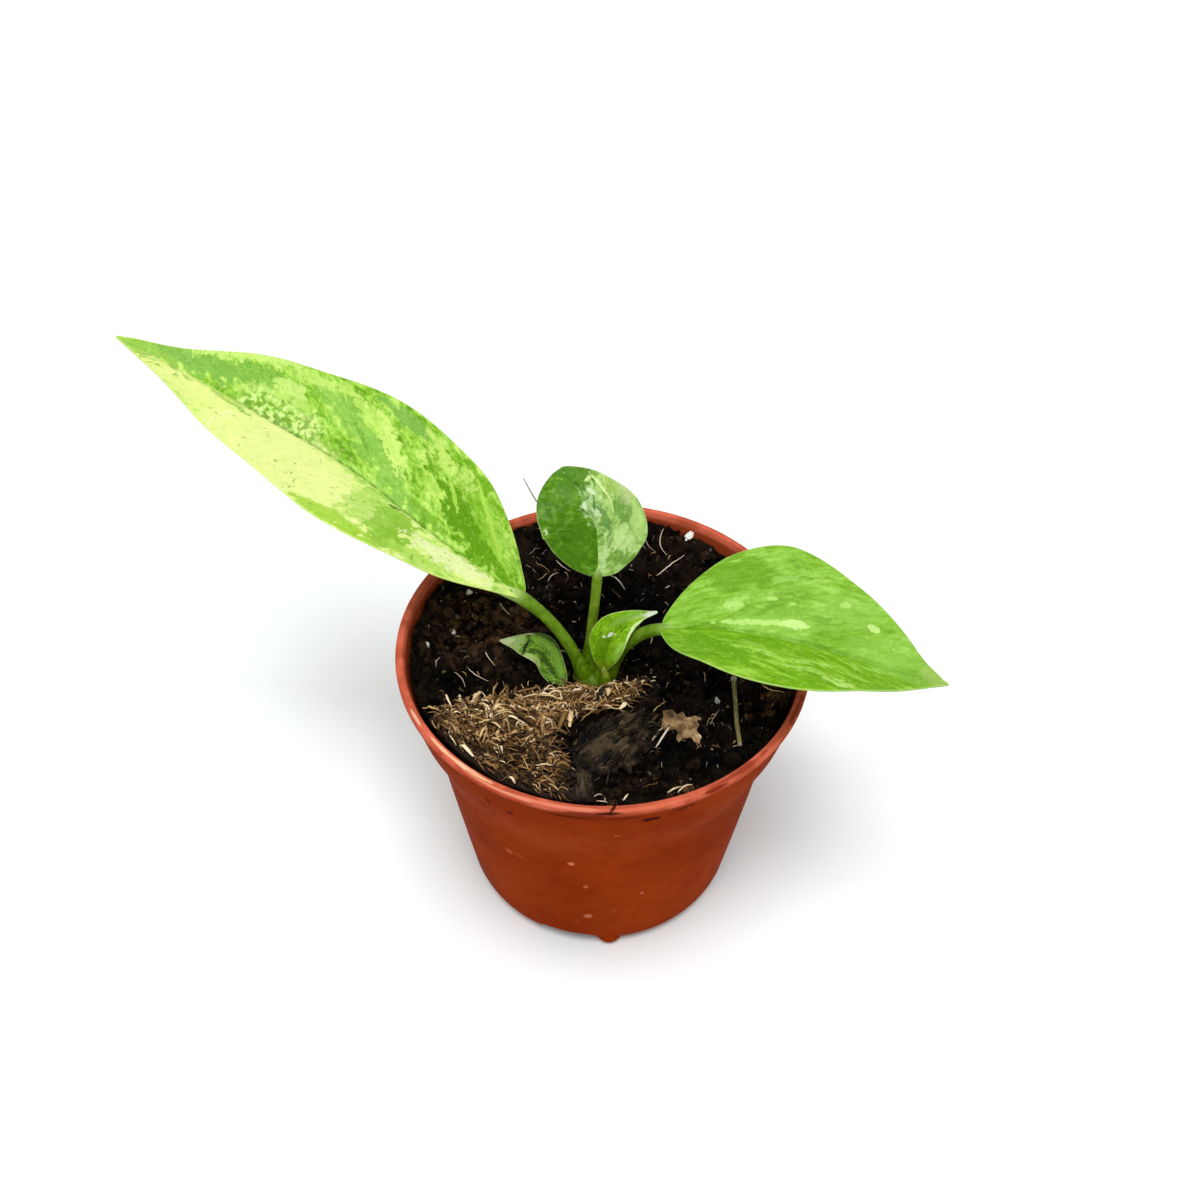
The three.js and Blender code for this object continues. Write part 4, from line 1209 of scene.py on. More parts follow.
def pot_finish():
    finish = Finish("moulded_plastic")
    place = finish.place()
    x, y, z = finish.split(place)
    radius = finish.length(finish.join(x, y, 0.0))
    broad = finish.noise(place, 55.0, 3.0)
    colour = finish.blend(broad.step(0.35, 0.65), paint(128, 42, 4), paint(146, 52, 8))
    mottle = finish.noise(place, 420.0, 4.0)
    colour = finish.blend(mottle.step(0.45, 0.7) * 0.35, colour, paint(114, 36, 4))
    body = 21.2 * MM + (z - 3.0 * MM) * 0.143
    wall = body.maths("MAXIMUM", 25.2 * MM + (z - 31 * MM) * 0.29)  # the collar flares more
    inside = (wall - radius).step(0.4 * MM, 0.65 * MM)
    colour = finish.blend(inside * 0.45, colour, paint(150, 70, 44))
    rubbed = finish.noise(place, 260.0, 4.0)
    around = x.maths("ARCTAN2", -y) * MARK_RADIUS
    height = z * MM_IN_METRE
    uneven = (rubbed - 0.5) * 1.6
    colour = lay_marks(finish, colour, POT_MARKS, around, height, uneven, (1.15, 0.7),
                       1.0 - inside)
    # The top of the lip is painted paler: partly rubbed wear and partly painted light on its upper
    # face, which leaves the lower part of the lip darker as painted shade.
    worn_and_lit_lip = z.step(0.0467, 0.0474) * (0.35 + rubbed.step(0.38, 0.62) * 0.45)
    colour = finish.blend(worn_and_lit_lip, colour, paint(216, 108, 84))
    over_lip = radius * MM_IN_METRE - 28.7 + (48.0 - height) * 0.6
    colour = lay_marks(finish, colour, LIP_MARKS, around, over_lip, uneven * 1.4, (1.2, 0.6),
                       z.step(0.0462, 0.0467), slant=0.5)
    grime = finish.noise(place, 330.0, 5.0, 0.7)
    soiled = grime.step(0.66, 0.72) * (0.25 + z.step(0.041, 0.047) * 0.6)
    colour = finish.blend(soiled, colour, paint(52, 24, 10))
    speck = finish.noise(place, 700.0, 1.0)
    colour = finish.blend(speck.step(0.75, 0.79) * 0.4, colour, paint(190, 104, 62))
    scratch_place = finish.join(x * 900.0, y * 900.0, z * 7000.0)
    scratch = finish.noise(scratch_place, 0.12, 3.0).step(0.68, 0.74)
    colour = finish.blend(scratch * 0.3, colour, paint(176, 84, 36))
    relief = finish.bump(finish.noise(place, 3800.0, 2.0), 0.02, 0.5)
    relief = finish.bump(rubbed + scratch * 0.3, 0.06, 0.35, relief)
    rough = 0.5 + (mottle - 0.5) * 0.2 + grime.step(0.6, 0.7) * 0.2
    return finish.surface(colour, rough, relief, Specular_IOR_Level=0.003)


POT_CREASE = 40  # degrees; sharper bends of the moulding stay crisp


def build_pot():
    finish = pot_finish()
    points, faces = turned(POT_OUTLINE, POT_SEGMENTS)
    pot = make_piece("moulded_pot", points, turn_outwards(points, faces), finish,
                     ["pot"])
    cut_notches(pot)
    pot.data.set_sharp_from_angle(angle=math.radians(POT_CREASE))
    foot_knobs().piece("pot_feet", finish, "pot_plastic", crease=POT_CREASE)
    print("the notched pot has", len(pot.data.polygons), "faces")


build_pot()

# %% [markdown]
# ## Compost
#
# Damp peat compost is almost black, with crumbs of many sizes, short pale roots and a wet glint
# here and there. One displaced surface alone looks like tarmac, so the ground is a fine relief
# and several thousand separate crumbs lie on it, with hair-thin fibres between them.

# %% Compost finish
# How much brighter than dark peat a crumb is, for the tones that its notes carry. The top stops
# make a few crumbs pale, partly as perlite dust and partly as painted glints of wet peat.
PEAT_TONES_AND_GLINTS = [(0, (0.6, 0.6, 0.6, 1)), (0.75, (1, 1, 1, 1)), (0.9, (2.6, 2.4, 2.2, 1)),
               (0.97, (7, 6.2, 5.4, 1)), (1, (15, 14, 13, 1))]
# Painted shade: the second note darkens the low gaps between the lumps and the damp, shaded places
# under the leaves.
PEAT_GAP_SHADE = [(0.15, (0.06, 0.06, 0.06, 1)), (0.75, (1, 1, 1, 1))]


def peat_finish():
    finish = Finish("damp_peat")
    place = finish.place()
    tone, depth, brown = finish.note("note")
    broad = finish.noise(place, 190.0, 3.0)
    fine = finish.noise(place, 1700.0, 5.0, 0.7)
    colour = finish.blend(broad.step(0.42, 0.6), paint(5, 4, 2), paint(21, 14, 8))
    colour = finish.blend(fine.step(0.56, 0.74) * 0.6, colour, paint(58, 40, 26))
    crumbly = finish.noise(place, 620.0, 4.0, 0.7)
    colour = finish.blend(brown * crumbly.step(0.42, 0.6) * 0.85, colour, paint(78, 56, 36))
    # The second note paints shade into the gaps and under the leaves.
    for value, stops in ((tone, PEAT_TONES_AND_GLINTS), (depth, PEAT_GAP_SHADE)):
        colour = finish.blend(1.0, colour, finish.ramp(value, stops), "MULTIPLY")
    wet = finish.noise(place, 540.0, 4.0, 0.7).step(0.6, 0.66)
    relief = finish.bump(fine, 0.5, 0.9)
    return finish.surface(colour, 0.8 - wet * 0.45, relief, Coat_Weight=wet * depth * 0.7,
                          Coat_Roughness=0.22, Specular_IOR_Level=0.05)


peat = peat_finish()
print("damp peat takes", len(peat.node_tree.nodes), "nodes")

# %% [markdown]
# The body of compost fills the pot up to a few millimetres under the lip. It could be one
# cylinder with a displacement modifier. Here it is turned in rings, the top ring by ring, so
# that the height of each point is known to everything that is later laid on it.

# %% Brown, damp and shaded places
# Where the compost is painted dark, as damp and as shade under the leaves: middle, half lengths,
# how much
DAMP_AND_SHADED_PLACES = [(2.5, 7.5, 13, 11, 0.78), (-20.5, -5, 6.5, 3.2, 0.6),
               (13, -18.5, 8, 4.5, 0.45)]


def brownness(x, y):
    """How brown and dry the compost is: most of all behind the fibre mat, at the left."""
    near = np.exp(-(((x + 17) / 9) ** 2 + ((y - 6) / 7) ** 2))
    right = 0.6 * np.exp(-(((x - 25) / 3.5) ** 2 + ((y + 8.5) / 3) ** 2))
    return np.clip(0.1 + 1.2 * near + right, 0, 1)


def damp_and_shade(x, y):
    """How dark the compost is painted, as damp and as shade: most of all behind the stalks, under
    the leaves.
    """
    lobes = [share * np.exp(-(((x - a) / long) ** 2 + ((y - b) / wide) ** 2) ** 2)
             for a, b, long, wide, share in DAMP_AND_SHADED_PLACES]
    return np.max(lobes, axis=0)


print("in the middle the compost is", round(float(brownness(0, 0)), 2), "brown and",
      round(float(damp_and_shade(0, 0)), 2), "wet")

# %% Compost shape
COMPOST_WALL = [(19.1, 2.9), (19.8, 3.9), (23.3, 27.8), (23.8, 31.3), (24.8, 34.7),
                (26.6, 39.8), (27.65, 44)]
COMPOST_SIDES = 300
PEAT_EDGE = 27.95
PLAIN_TONE = 0.75


def build_compost():
    rings = [circle(r, z, COMPOST_SIDES) for r, z in COMPOST_WALL]
    radii = PEAT_EDGE * np.linspace(1, 0.004, 130)
    flat = np.vstack([circle(r, 0, COMPOST_SIDES) for r in radii])
    ridge = np.abs(grain(flat, 2.6, 5.0, 4))
    gap = np.clip(1 - ridge / 0.22, 0, 1) ** 1.5
    rough = 0.7 * grain(flat, 3.6, 1.0, 5) - 1.0 * gap + 0.15
    flat[:, 2] = peat_level(flat[:, 0], flat[:, 1]) + rough
    points = np.vstack([*rings, flat])
    faces = ring_faces(len(rings) + len(radii), COMPOST_SIDES)
    notes = np.zeros((len(points), 3))
    notes[:, 0] = PLAIN_TONE
    # The second note is painted shade: darker in the low gaps of the relief and in the damp, shaded
    # places under the leaves.
    notes[-len(flat):, 1] = np.clip(0.62 + 0.75 * rough, 0, 1)
    notes[:, 1] *= 1 - damp_and_shade(points[:, 0], points[:, 1])
    notes[:, 2] = brownness(points[:, 0], points[:, 1])
    return make_piece("peat_surface", points, turn_outwards(points, faces), peat,
                      ["compost"], {"note": notes})


build_compost()

# %% [markdown]
# Loose crumbs, from dust to lumps of 2 mm, lie on that ground. A particle system would scatter
# them. Here every crumb is its own squeezed and turned ball from a seeded draw, so that they
# lie the same way each time, and the brown heaps are listed where they stand out.

# %% Balls, crumbs and clods


def rough_ball(level):
    """Points and faces of a small round mesh, to be squeezed into crumbs and grains."""
    ball = bmesh.new()
    bmesh.ops.create_icosphere(ball, subdivisions=level, radius=1.0)
    points = np.array([v.co for v in ball.verts])
    faces = [[v.index for v in face.verts] for face in ball.faces]
    ball.free()
    return points, faces


def random_turn(rng):
    """A random rotation as a 3 by 3 array."""
    axes, _ = np.linalg.qr(rng.normal(size=(3, 3)))
    return axes * np.sign(np.linalg.det(axes))


def crumb(rng, ball, size, rough):
    """A small crumb: a ball with each of its points pushed in or out on its own."""
    points, faces = ball
    stretch = size * rng.uniform(0.35, 1.25, 3)
    bumps = 1 + rough * rng.normal(size=(len(points), 1)).clip(-1.6, 1.6)
    return (points * bumps * stretch) @ random_turn(rng).T, faces


def clod(rng, ball, size):
    """A larger lump: a ball pushed in and out by noise that runs on from point to point."""
    points, faces = ball
    stretch = size * rng.uniform(0.55, 1.15, 3)
    bumps = 1 + 0.5 * grain(points, 0.8, 20 * rng.random(), 4)[:, None]
    return (points * bumps * stretch) @ random_turn(rng).T, faces


print("balls of", [len(rough_ball(level)[1]) for level in (1, 2, 3, 4)], "faces")

# %% Crumbs
KEEP_OFF = [(-1.5, -2.8, 2.6), (0.5, -5.2, 1.0)]  # the crown and the young leaf
# Single crumbs: how many, which ball, smallest, largest, how far out and from where
CRUMB_SORTS = [(420, "large", 0.35, 0.9, 27.0, 0.0), (4300, "small", 0.1, 0.42, 27.2, 0.0),
               (900, "small", 0.15, 0.5, 28.0, 25.8)]


def scatter(rng, count, reach, inner=0.0):
    """Random places on the compost, in mm, clear of the leaf stalks."""
    places = []
    while len(places) < count:
        radius = math.sqrt(inner**2 + (reach**2 - inner**2) * rng.random())
        turn = rng.random() * 2 * math.pi
        x, y = radius * math.cos(turn), radius * math.sin(turn)
        if all(math.hypot(x - a, y - b) > r for a, b, r in KEEP_OFF):
            places.append((x, y))
    return places


# Heaps of crumbs that stand out: middle, spread, count, size, tone and brownness
CLUSTERS = [
    (24.4, -7.4, 1.5, 34, 0.5, 0.93, 1), (27, -7.2, 0.7, 14, 0.42, 0.96, 1),
    (22.4, -11.4, 1.6, 22, 0.45, 0.88, 0.9), (11.2, -24.7, 0.9, 22, 0.36, 0.985, 0.5),
    (9.6, -25.6, 0.6, 10, 0.3, 0.98, 0.5), (3.4, -23.4, 1.5, 26, 0.5, 0.915, 0.1),
    (1.8, -26.9, 0.7, 9, 0.34, 0.95, 0.2), (12.4, -20, 1.2, 12, 0.4, 0.9, 0.1),
    (7, -20.6, 1.6, 12, 0.34, 0.9, 0.2), (-20.5, 9.5, 3.4, 40, 0.5, 0.88, 0.9),
    (-16, 5, 3, 40, 0.45, 0.87, 0.9), (-13, 11.5, 2.2, 22, 0.5, 0.86, 0.8),
    (12.2, -5.2, 1, 6, 0.4, 0.93, 0.2), (20.5, -8.8, 0.6, 6, 0.34, 0.94, 0.3),
]


def add_clods(rng, crumbs):
    """Up to 110 larger lumps, mostly where the compost is brown."""
    ball = rough_ball(3)
    for x, y in scatter(rng, 110, 26.2):
        if rng.random() < 0.45 + 0.5 * brownness(x, y):
            size = 0.6 + 0.9 * rng.random() ** 1.6
            points, faces = clod(rng, ball, size)
            brown = min(1, brownness(x, y) + 0.3 * rng.random())
            crumbs.add(points + (x, y, peat_level(x, y) + 0.1 * size), faces,
                       (0.8, 0.8 * (1 - damp_and_shade(x, y)), brown))


def add_heaps(rng, crumbs, ball):
    """The heaps of crumbs in their listed places."""
    for x, y, spread, count, size, tone, brown in CLUSTERS:
        for _ in range(count):
            points, faces = crumb(rng, ball, size * rng.uniform(0.4, 1.3), 0.4)
            a, b = (x, y) + spread * 0.6 * rng.normal(size=2)
            if math.hypot(a, b) < 27.6:
                shade = tone - 0.06 * rng.random() ** 2
                crumbs.add(points + (a, b, peat_level(a, b) + 0.3 * size), faces,
                           (shade, 0.9, brown * rng.uniform(0.4, 1.0)))


def build_crumbs():
    rng = np.random.default_rng(11)
    crumbs = Parts()
    add_clods(rng, crumbs)
    balls = {"large": rough_ball(2), "small": rough_ball(1)}
    for count, sort, low, high, reach, inner in CRUMB_SORTS:
        for x, y in scatter(rng, count, reach, inner):
            size = low + (high - low) * rng.random() ** 2.4
            points, faces = crumb(rng, balls[sort], size, 0.34)
            lift = peat_level(x, y) - 0.1 + 0.15 * size + (0.35 * rng.random() if inner else 0)
            tone = rng.random() if sort == "small" else 0.85 * rng.random()
            crumbs.add(points + (x, y, lift), faces,
                       (tone, (0.55 + 0.45 * rng.random()) * (1 - damp_and_shade(x, y)),
                        brownness(x, y) * rng.random()))
    add_heaps(rng, crumbs, balls["large"])
    return crumbs.piece("peat_crumbs", peat, "compost", crease=25)


build_crumbs()

# %% [markdown]
# ## Fibres
#
# Coconut fibre lies in a tangled mat in front of the plant, and single fibres are strewn over the
# compost. Hair particles would be quick but leave nothing in a mesh export, so each fibre is a
# thin tapered tube with its own bend and its own shade.

# %% Fibre finish


def fibre_finish():
    finish = Finish("coconut_fibre")
    place = finish.place()
    tone, share, pale = finish.note("note")
    grain_along = finish.noise(place, 2400.0, detail=3.0)
    colour = finish.ramp(tone + (grain_along - 0.5) * 0.35, [
        (0.0, paint(24, 15, 7)), (0.3, paint(84, 57, 28)), (0.6, paint(150, 112, 62)),
        (0.85, paint(214, 182, 128)), (1.0, paint(244, 224, 186))])
    colour = finish.blend(share.step(0.25, 0.0) * 0.5, colour, paint(52, 36, 20))
    colour = finish.blend(pale, colour, paint(206, 196, 188))
    relief = finish.bump(grain_along, 0.08, 0.6)
    return finish.surface(colour, 0.62 + (grain_along - 0.5) * 0.2, relief, Specular_IOR_Level=0.12)


fibre = fibre_finish()
print("coconut fibre takes", len(fibre.node_tree.nodes), "nodes")

# %% One fibre
STRAND_STEPS = 9


def strand(rng, start, heading, length, radius, bend, lift, ground, wander):
    """One fibre over the ground: a wandering path and a tapering radius."""
    share = np.linspace(0, 1, STRAND_STEPS)
    turn = heading + bend * share + wander * rng.normal(size=STRAND_STEPS).cumsum() / 3
    stride = length / (STRAND_STEPS - 1)
    x = start[0] + np.concatenate([[0], np.cumsum(np.cos(turn[:-1]) * stride)])
    y = start[1] + np.concatenate([[0], np.cumsum(np.sin(turn[:-1]) * stride)])
    z = (ground(x, y) + radius + lift * np.sin(np.pi * share ** 0.8)
         + 0.1 * rng.normal(size=STRAND_STEPS))
    radii = radius * (0.35 + 0.65 * np.sin(np.pi * np.clip(share * 0.9 + 0.08, 0, 1)))
    return np.stack([x, y, z], axis=1), radii


def lay_strand(parts, path, radii, tone, sides, flat, pale):
    """Adds one fibre, with its tone, its share of the length and its paleness as notes."""
    skin, faces = tube(path, radii, sides, flat)
    share = np.repeat(np.linspace(0, 1, len(path)), sides)
    note = np.stack([0 * share + tone, share, 0 * share + pale], axis=1)
    parts.add(skin, faces, note)


def inside_wall(path, reach):
    return bool((np.hypot(path[:, 0], path[:, 1]) < reach).all())


print("a fibre of 5 sides has", len(ring_faces(STRAND_STEPS, 5)), "faces")

# %% Loose fibres
# Single fibres that stand out in the photograph: both ends, bow, radius, tone and paleness
SEEN_FIBRES = [
    (7.5, -16.4, 9.8, -12.4, 0, 0.15, 0.95, 0.6), (6.6, -15.7, 8.6, -12.8, 0, 0.09, 0.8, 0.5),
    (4.1, -17.9, 4.6, -16.5, 0.1, 0.13, 0.9, 0.6), (9.2, 25.2, 9.8, 21.1, 0.4, 0.08, 0.8, 0.5),
    (8.1, 17.1, 12.4, 20.7, 0, 0.11, 0.9, 0.6), (0.9, 16.1, 3.2, 13.7, -0.1, 0.12, 0.9, 0.8),
    (-15.7, 10.7, -14.1, 8.3, 0.2, 0.1, 0.7, 0.7), (-17.3, 0.5, -15.6, -2.4, 0.2, 0.1, 0.7, 0.5),
    (2.9, -26.5, 3.6, -25, 0.1, 0.14, 0.95, 0.2), (-0.6, -26.3, 0.9, -26.6, 0.3, 0.12, 0.9, 0.3),
    (-1, -25.4, 0.6, -25.2, -0.4, 0.1, 0.7, 0.5), (-2.6, -21.9, -5.4, -21.5, 0.3, 0.14, 0.8, 0.5),
    (-5.4, -21.6, -5.3, -23.2, -0.5, 0.12, 0.7, 0.5), (1.6, 22.4, 2.6, 19.6, 0.1, 0.08, 0.8, 0.7),
    (-7.5, 19.5, -5.2, 17.4, 0.2, 0.09, 0.8, 0.7), (-8.6, 15.2, -7, 17.2, -0.2, 0.08, 0.7, 0.6),
    (6.4, 24, 8, 22, 0.3, 0.07, 0.6, 0.4), (-19.5, -3, -16.4, -5.4, 0.2, 0.09, 0.8, 0.4),
    (-21.4, -4.2, -19.6, -7, -0.2, 0.08, 0.7, 0.4),
    (-23.6, -1.2, -24, -3.6, 0.2, 0.07, 0.6, 0.4), (8.8, -25.4, 10.6, -24.4, 0.1, 0.2, 0.9, 0.3),
    (10.2, -25.4, 12.2, -24, -0.1, 0.18, 0.9, 0.3),
    (15.2, -12.8, 16.6, -10, 0, 0.06, 0.6, 0.3), (22.6, -6, 25.6, -8.4, 0.3, 0.14, 0.8, 0.1),
]
# The one hair that stands up behind the back leaf
TALL_HAIR = [(-6, 25.6, 45.9), (-8.6, 24.4, 50), (-10.6, 23, 54.6), (-12.5, 24, 58.2)]


def build_loose_fibres():
    rng = np.random.default_rng(23)
    fibres = Parts()
    for count, low, high, thick in ((420, 0.4, 1.4, 0.075), (60, 1.4, 4.2, 0.055)):
        for x, y in scatter(rng, count, 26.5):
            length = low + (high - low) * rng.random() ** 1.6
            path, radii = strand(rng, (x, y), rng.random() * 6.28, length,
                                 thick * (0.5 + 0.7 * rng.random()), rng.normal() * 0.3,
                                 0.15 + 0.35 * rng.random(), peat_level, 0.1)
            if inside_wall(path, 27.2):
                tone = 0.1 + 0.75 * rng.random() ** 2
                lay_strand(fibres, path, radii, tone, 4, 1.0, 0.5 * rng.random() ** 3)
    shares = np.linspace(0, 1, 14)
    for x0, y0, x1, y1, bow, radius, tone, pale in SEEN_FIBRES:
        swing = bow * np.sin(np.pi * shares)
        x = x0 + (x1 - x0) * shares + (y1 - y0) * 0.5 * swing
        y = y0 + (y1 - y0) * shares - (x1 - x0) * 0.5 * swing
        z = peat_level(x, y) + 0.45 + 0.3 * np.sin(np.pi * shares) + 0.05 * rng.normal(size=14)
        radii = radius * (0.45 + 0.55 * np.sin(np.pi * np.clip(shares + 0.1, 0, 1)))
        lay_strand(fibres, np.stack([x, y, z], axis=1), radii, tone, 6, 0.7, pale)
    hair = along_path(TALL_HAIR, np.linspace(0, 1, 24))
    lay_strand(fibres, hair, np.linspace(0.2, 0.08, 24), 0.25, 6, 1.0, 0.4)
    return fibres.piece("loose_fibres", fibre, "fibre")


build_loose_fibres()

# %% [markdown]
# The mat is felted coconut fibre with a ragged outline, the plug beside it is a lump of darker,
# brushed peat, and the scrap is a torn piece of an old leaf. Hair curves could make the mat, and
# a sculpted mesh the plug. Here each is a low mound inside its measured outline, with strands
# laid over it one by one, because strands that are real tubes also hold up from close by.

# %% Outlines of the mat, the plug and the scrap
TUFT_EDGE = [(-24, -14.4), (-22.4, -13.2), (-19.4, -10.6), (-16.6, -8.8), (-13, -8.2),
             (-8.6, -8.4), (-4, -7.4), (1, -6.2), (5, -5.4), (4.2, -8), (-1, -10.6),
             (-5, -11.4), (-7.6, -13.4), (-7, -18), (-6, -22), (-5.4, -26.8),
             (-10.6, -26.2), (-14.6, -24.2), (-17.8, -21.9), (-20.8, -19), (-23, -16.4)]
TUFT_MIDDLE = (-10.5, -13.2)
PLUG_EDGE = [(-4.2, -19), (-3.6, -15.6), (-1.4, -13.2), (2.5, -11.4), (5.6, -10.9), (7.8, -12.4),
             (7.3, -15.5), (5.6, -18.8), (3.8, -21.2), (0, -21.9), (-3.6, -21.8)]
PLUG_MIDDLE = (1.4, -16.2)
CHUNK_EDGE = [(-5.4, -21.6), (-3.2, -21.2), (-1.2, -21.9), (-1.1, -24.6), (-1.4, -27),
              (-3.4, -27.1), (-5, -26.4), (-5.6, -24)]
CHUNK_MIDDLE = (-3.3, -24.2)
SCRAP_EDGE = [(8.2, -12.7), (8.7, -11.5), (8.4, -10.5), (9.8, -10.5), (10.5, -11.1), (11.3, -10.7),
              (11.7, -11.4), (13, -11.2), (14.1, -11.5), (13.5, -12.4), (13.2, -13.7),
              (13.3, -14.6), (13.8, -15.5), (13.5, -16.5), (12.8, -16.2), (12.3, -15.3),
              (11.5, -15.3), (10.6, -15.9), (10.3, -15), (10.6, -13.9), (10, -13.2),
              (9, -13.6)]
SCRAP_MIDDLE = (11.3, -12.9)


def closed_edge(corners, count, smooth=True):
    """Evenly spaced points on the closed line through the corners, smooth or straight."""
    looped = [(*c, 0) for c in (*corners[-2:], *corners, *corners[:2])]
    if smooth:
        dense = path_through(looped)[0][2 * PATH_STEPS:(2 + len(corners)) * PATH_STEPS]
    else:
        dense = np.array(looped[2:-1])
    walked = np.concatenate([[0], np.cumsum(np.linalg.norm(np.diff(dense, axis=0), axis=1))])
    places = np.linspace(0, walked[-1], count, endpoint=False)
    return np.stack([np.interp(places, walked, dense[:, k]) for k in (0, 1)], axis=1)


print("the outline of the mat is", len(closed_edge(TUFT_EDGE, 200)), "points")

# %% Mounds inside an outline
MOUND_LIFT, MOUND_SUNK = 0.6, 0.3


def mound(corners, middle, thickness, relief_at, ragged, rings, count, smooth=True):
    """A low closed mound on the compost inside an outline; relief_at gives its rough top."""
    edge = closed_edge(corners, count, smooth)
    outwards = edge - middle
    torn = ragged * grain(on_plane(*edge.T), 1.2, 4.0, 4)
    outwards = outwards * (1 + torn / np.linalg.norm(outwards, axis=1))[:, None]
    shares = np.concatenate([[0.02], np.linspace(1 / rings, 1, rings)])
    skin = []
    for top in (False, True):
        for share in (shares[::-1] if top else shares):
            x, y = (np.array(middle) + outwards * share).T
            if top:
                z = peat_level(x, y) + MOUND_LIFT + thickness * math.sqrt(1 - share**2)
                z = z + relief_at(x, y) * (1 - share**8)
            else:
                z = peat_level(x, y) + MOUND_LIFT - MOUND_SUNK + 0 * x
            skin.append(np.stack([x, y, z], axis=1))
    points = np.vstack(skin)
    return points, turn_outwards(points, ring_faces(len(skin), count))


def lumps(size, amount, seed):
    """Relief for a mound, the same in all directions."""
    return lambda x, y: amount * grain(on_plane(x, y), size, seed, 4)


def streaks(degrees, amount, seed):
    """Relief for a mound, drawn out in one direction like packed fibres."""
    turn = math.radians(degrees)

    def relief(x, y):
        along = (x * math.cos(turn) + y * math.sin(turn)) / 4.0
        across = (y * math.cos(turn) - x * math.sin(turn)) / 0.9
        drawn = grain(on_plane(along, across), 1.0, seed, 4)
        return amount * drawn + lumps(2.4, amount * 0.7, seed + 3)(x, y)
    return relief


print("a mound of 18 rings and 220 sides has",
      len(mound(SCRAP_EDGE, SCRAP_MIDDLE, 0.15, lumps(0.9, 0.4, 9.0), 0.3, 18, 220, False)[1]),
      "faces")

# %% Fibre mat
TUFT_SPOTS = [(-19, -14), (-13, -14), (-9, -12), (-9, -18), (-4, -9.5), (1, -7.6), (-12, -20),
              (-20, -16), (-8, -23)]


def tuft_ground(x, y):
    """Height of the fibre mat above the compost, falling away towards its edge."""
    nearest = np.min([np.hypot(x - a, y - b) for a, b in TUFT_SPOTS], axis=0)
    return peat_level(x, y) + 0.4 + 1.3 * np.clip(1 - nearest / 5.5, 0, 1) ** 0.5


def mat_tone(x, y):
    """The mat is lightest at the left and along its back, and darker towards the front."""
    light = 0.2 * np.exp(-(((x + 15) / 6) ** 2 + ((y + 13) / 4) ** 2))
    light = light + 0.1 * np.exp(-(((x - 1) / 5) ** 2 + ((y + 7) / 2.5) ** 2))
    return 0.4 + light + 0.012 * (y + 16)


# Strands of the mat: how many, shortest, longest, thinnest, thickest, flatness and sides
MAT_STRANDS = [(1650, 0.9, 3.8, 0.07, 0.15, 1, 4), (560, 1.2, 4.2, 0.17, 0.4, 0.4, 6)]


def mat_felt():
    """The low body of the mat and a tone for each of its points, darker next to the pot wall as
    painted shade.
    """
    points, faces = mound(TUFT_EDGE, TUFT_MIDDLE, 1.1, lumps(1.3, 0.8, 2.0), 0.5, 40, 200)
    points[:, :2] *= np.minimum(1, 28.0 / np.hypot(*points[:, :2].T))[:, None]
    rough = grain(points * (1, 1, 0), 0.8, 6.0, 4) + grain(points * (1, 1, 0), 2.4, 8.0, 2)
    felt = np.clip(0.24 + 0.3 * rough + 0.014 * (points[:, 1] + 16), 0.02, 0.7)
    # Painted shade: the felt darkens within 2.4 mm of the pot wall, in the corner where the mat
    # meets it.
    felt *= np.clip((27.4 - np.hypot(*points[:, :2].T)) / 2.4, 0.08, 1)
    return points, faces, np.stack([felt, 0 * felt + 0.6, 0 * felt], axis=1)


def mat_strand(rng, k, edge, low, high, thin, thick):
    """Where strand number k lies: its start, its path and its radii."""
    corner = edge[rng.integers(len(edge))]
    share = rng.uniform(0.88, 1.04) if k % 4 == 0 else math.sqrt(rng.random())
    start = np.array(TUFT_MIDDLE) + (corner - TUFT_MIDDLE) * share
    main = -0.95 if start[0] < -9 and rng.random() < 0.6 else 0.4
    heading = main + rng.normal() * 0.8 + (math.pi if rng.random() < 0.5 else 0)
    length = low + (high - low) * rng.random() ** 1.7
    if math.hypot(*start) > 26.2:  # along the wall of the pot
        heading = math.atan2(start[0], -start[1]) + rng.normal() * 0.45
        start *= rng.uniform(25.6, 27.6) / math.hypot(*start)
        length = min(length, 2.4)
    radius = thin + (thick - thin) * rng.random() ** 1.8
    path, radii = strand(rng, start, heading, length, radius, rng.normal() * 0.45,
                         0.1 + 0.9 * rng.random() ** 2, tuft_ground, 0.12)
    path[:, 2] += rng.normal() * 0.25 - 0.7 * max(share - 0.8, 0) / 0.24
    return start, path, radii


def off_plug_and_crown(path):
    plug = np.hypot(path[:, 0] - 1.2, (path[:, 1] + 16.8) * 0.9) > 5.6
    crown = np.hypot(path[:, 0] + 1.5, path[:, 1] + 2.8) > 3.9
    return plug.all() and crown.all()


def build_tuft():
    rng = np.random.default_rng(31)
    tuft = Parts()
    tuft.add(*mat_felt())
    edge = closed_edge(TUFT_EDGE, 200)
    for count, low, high, thin, thick, flat, sides in MAT_STRANDS:
        for k in range(count):
            start, path, radii = mat_strand(rng, k, edge, low, high, thin, thick)
            if inside_wall(path, 28.0) and off_plug_and_crown(path):
                tone = mat_tone(start[0], start[1]) + 0.29 * rng.normal()
                pale = 0.15 * rng.random() ** 2
                lay_strand(tuft, path, radii, min(max(tone, 0.02), 1.0), sides, flat,
                           pale * max(tone, 0))
    return tuft.piece("fibre_mat", fibre, "fibre", ["fibre_tuft"])


build_tuft()

# %% Plug finish


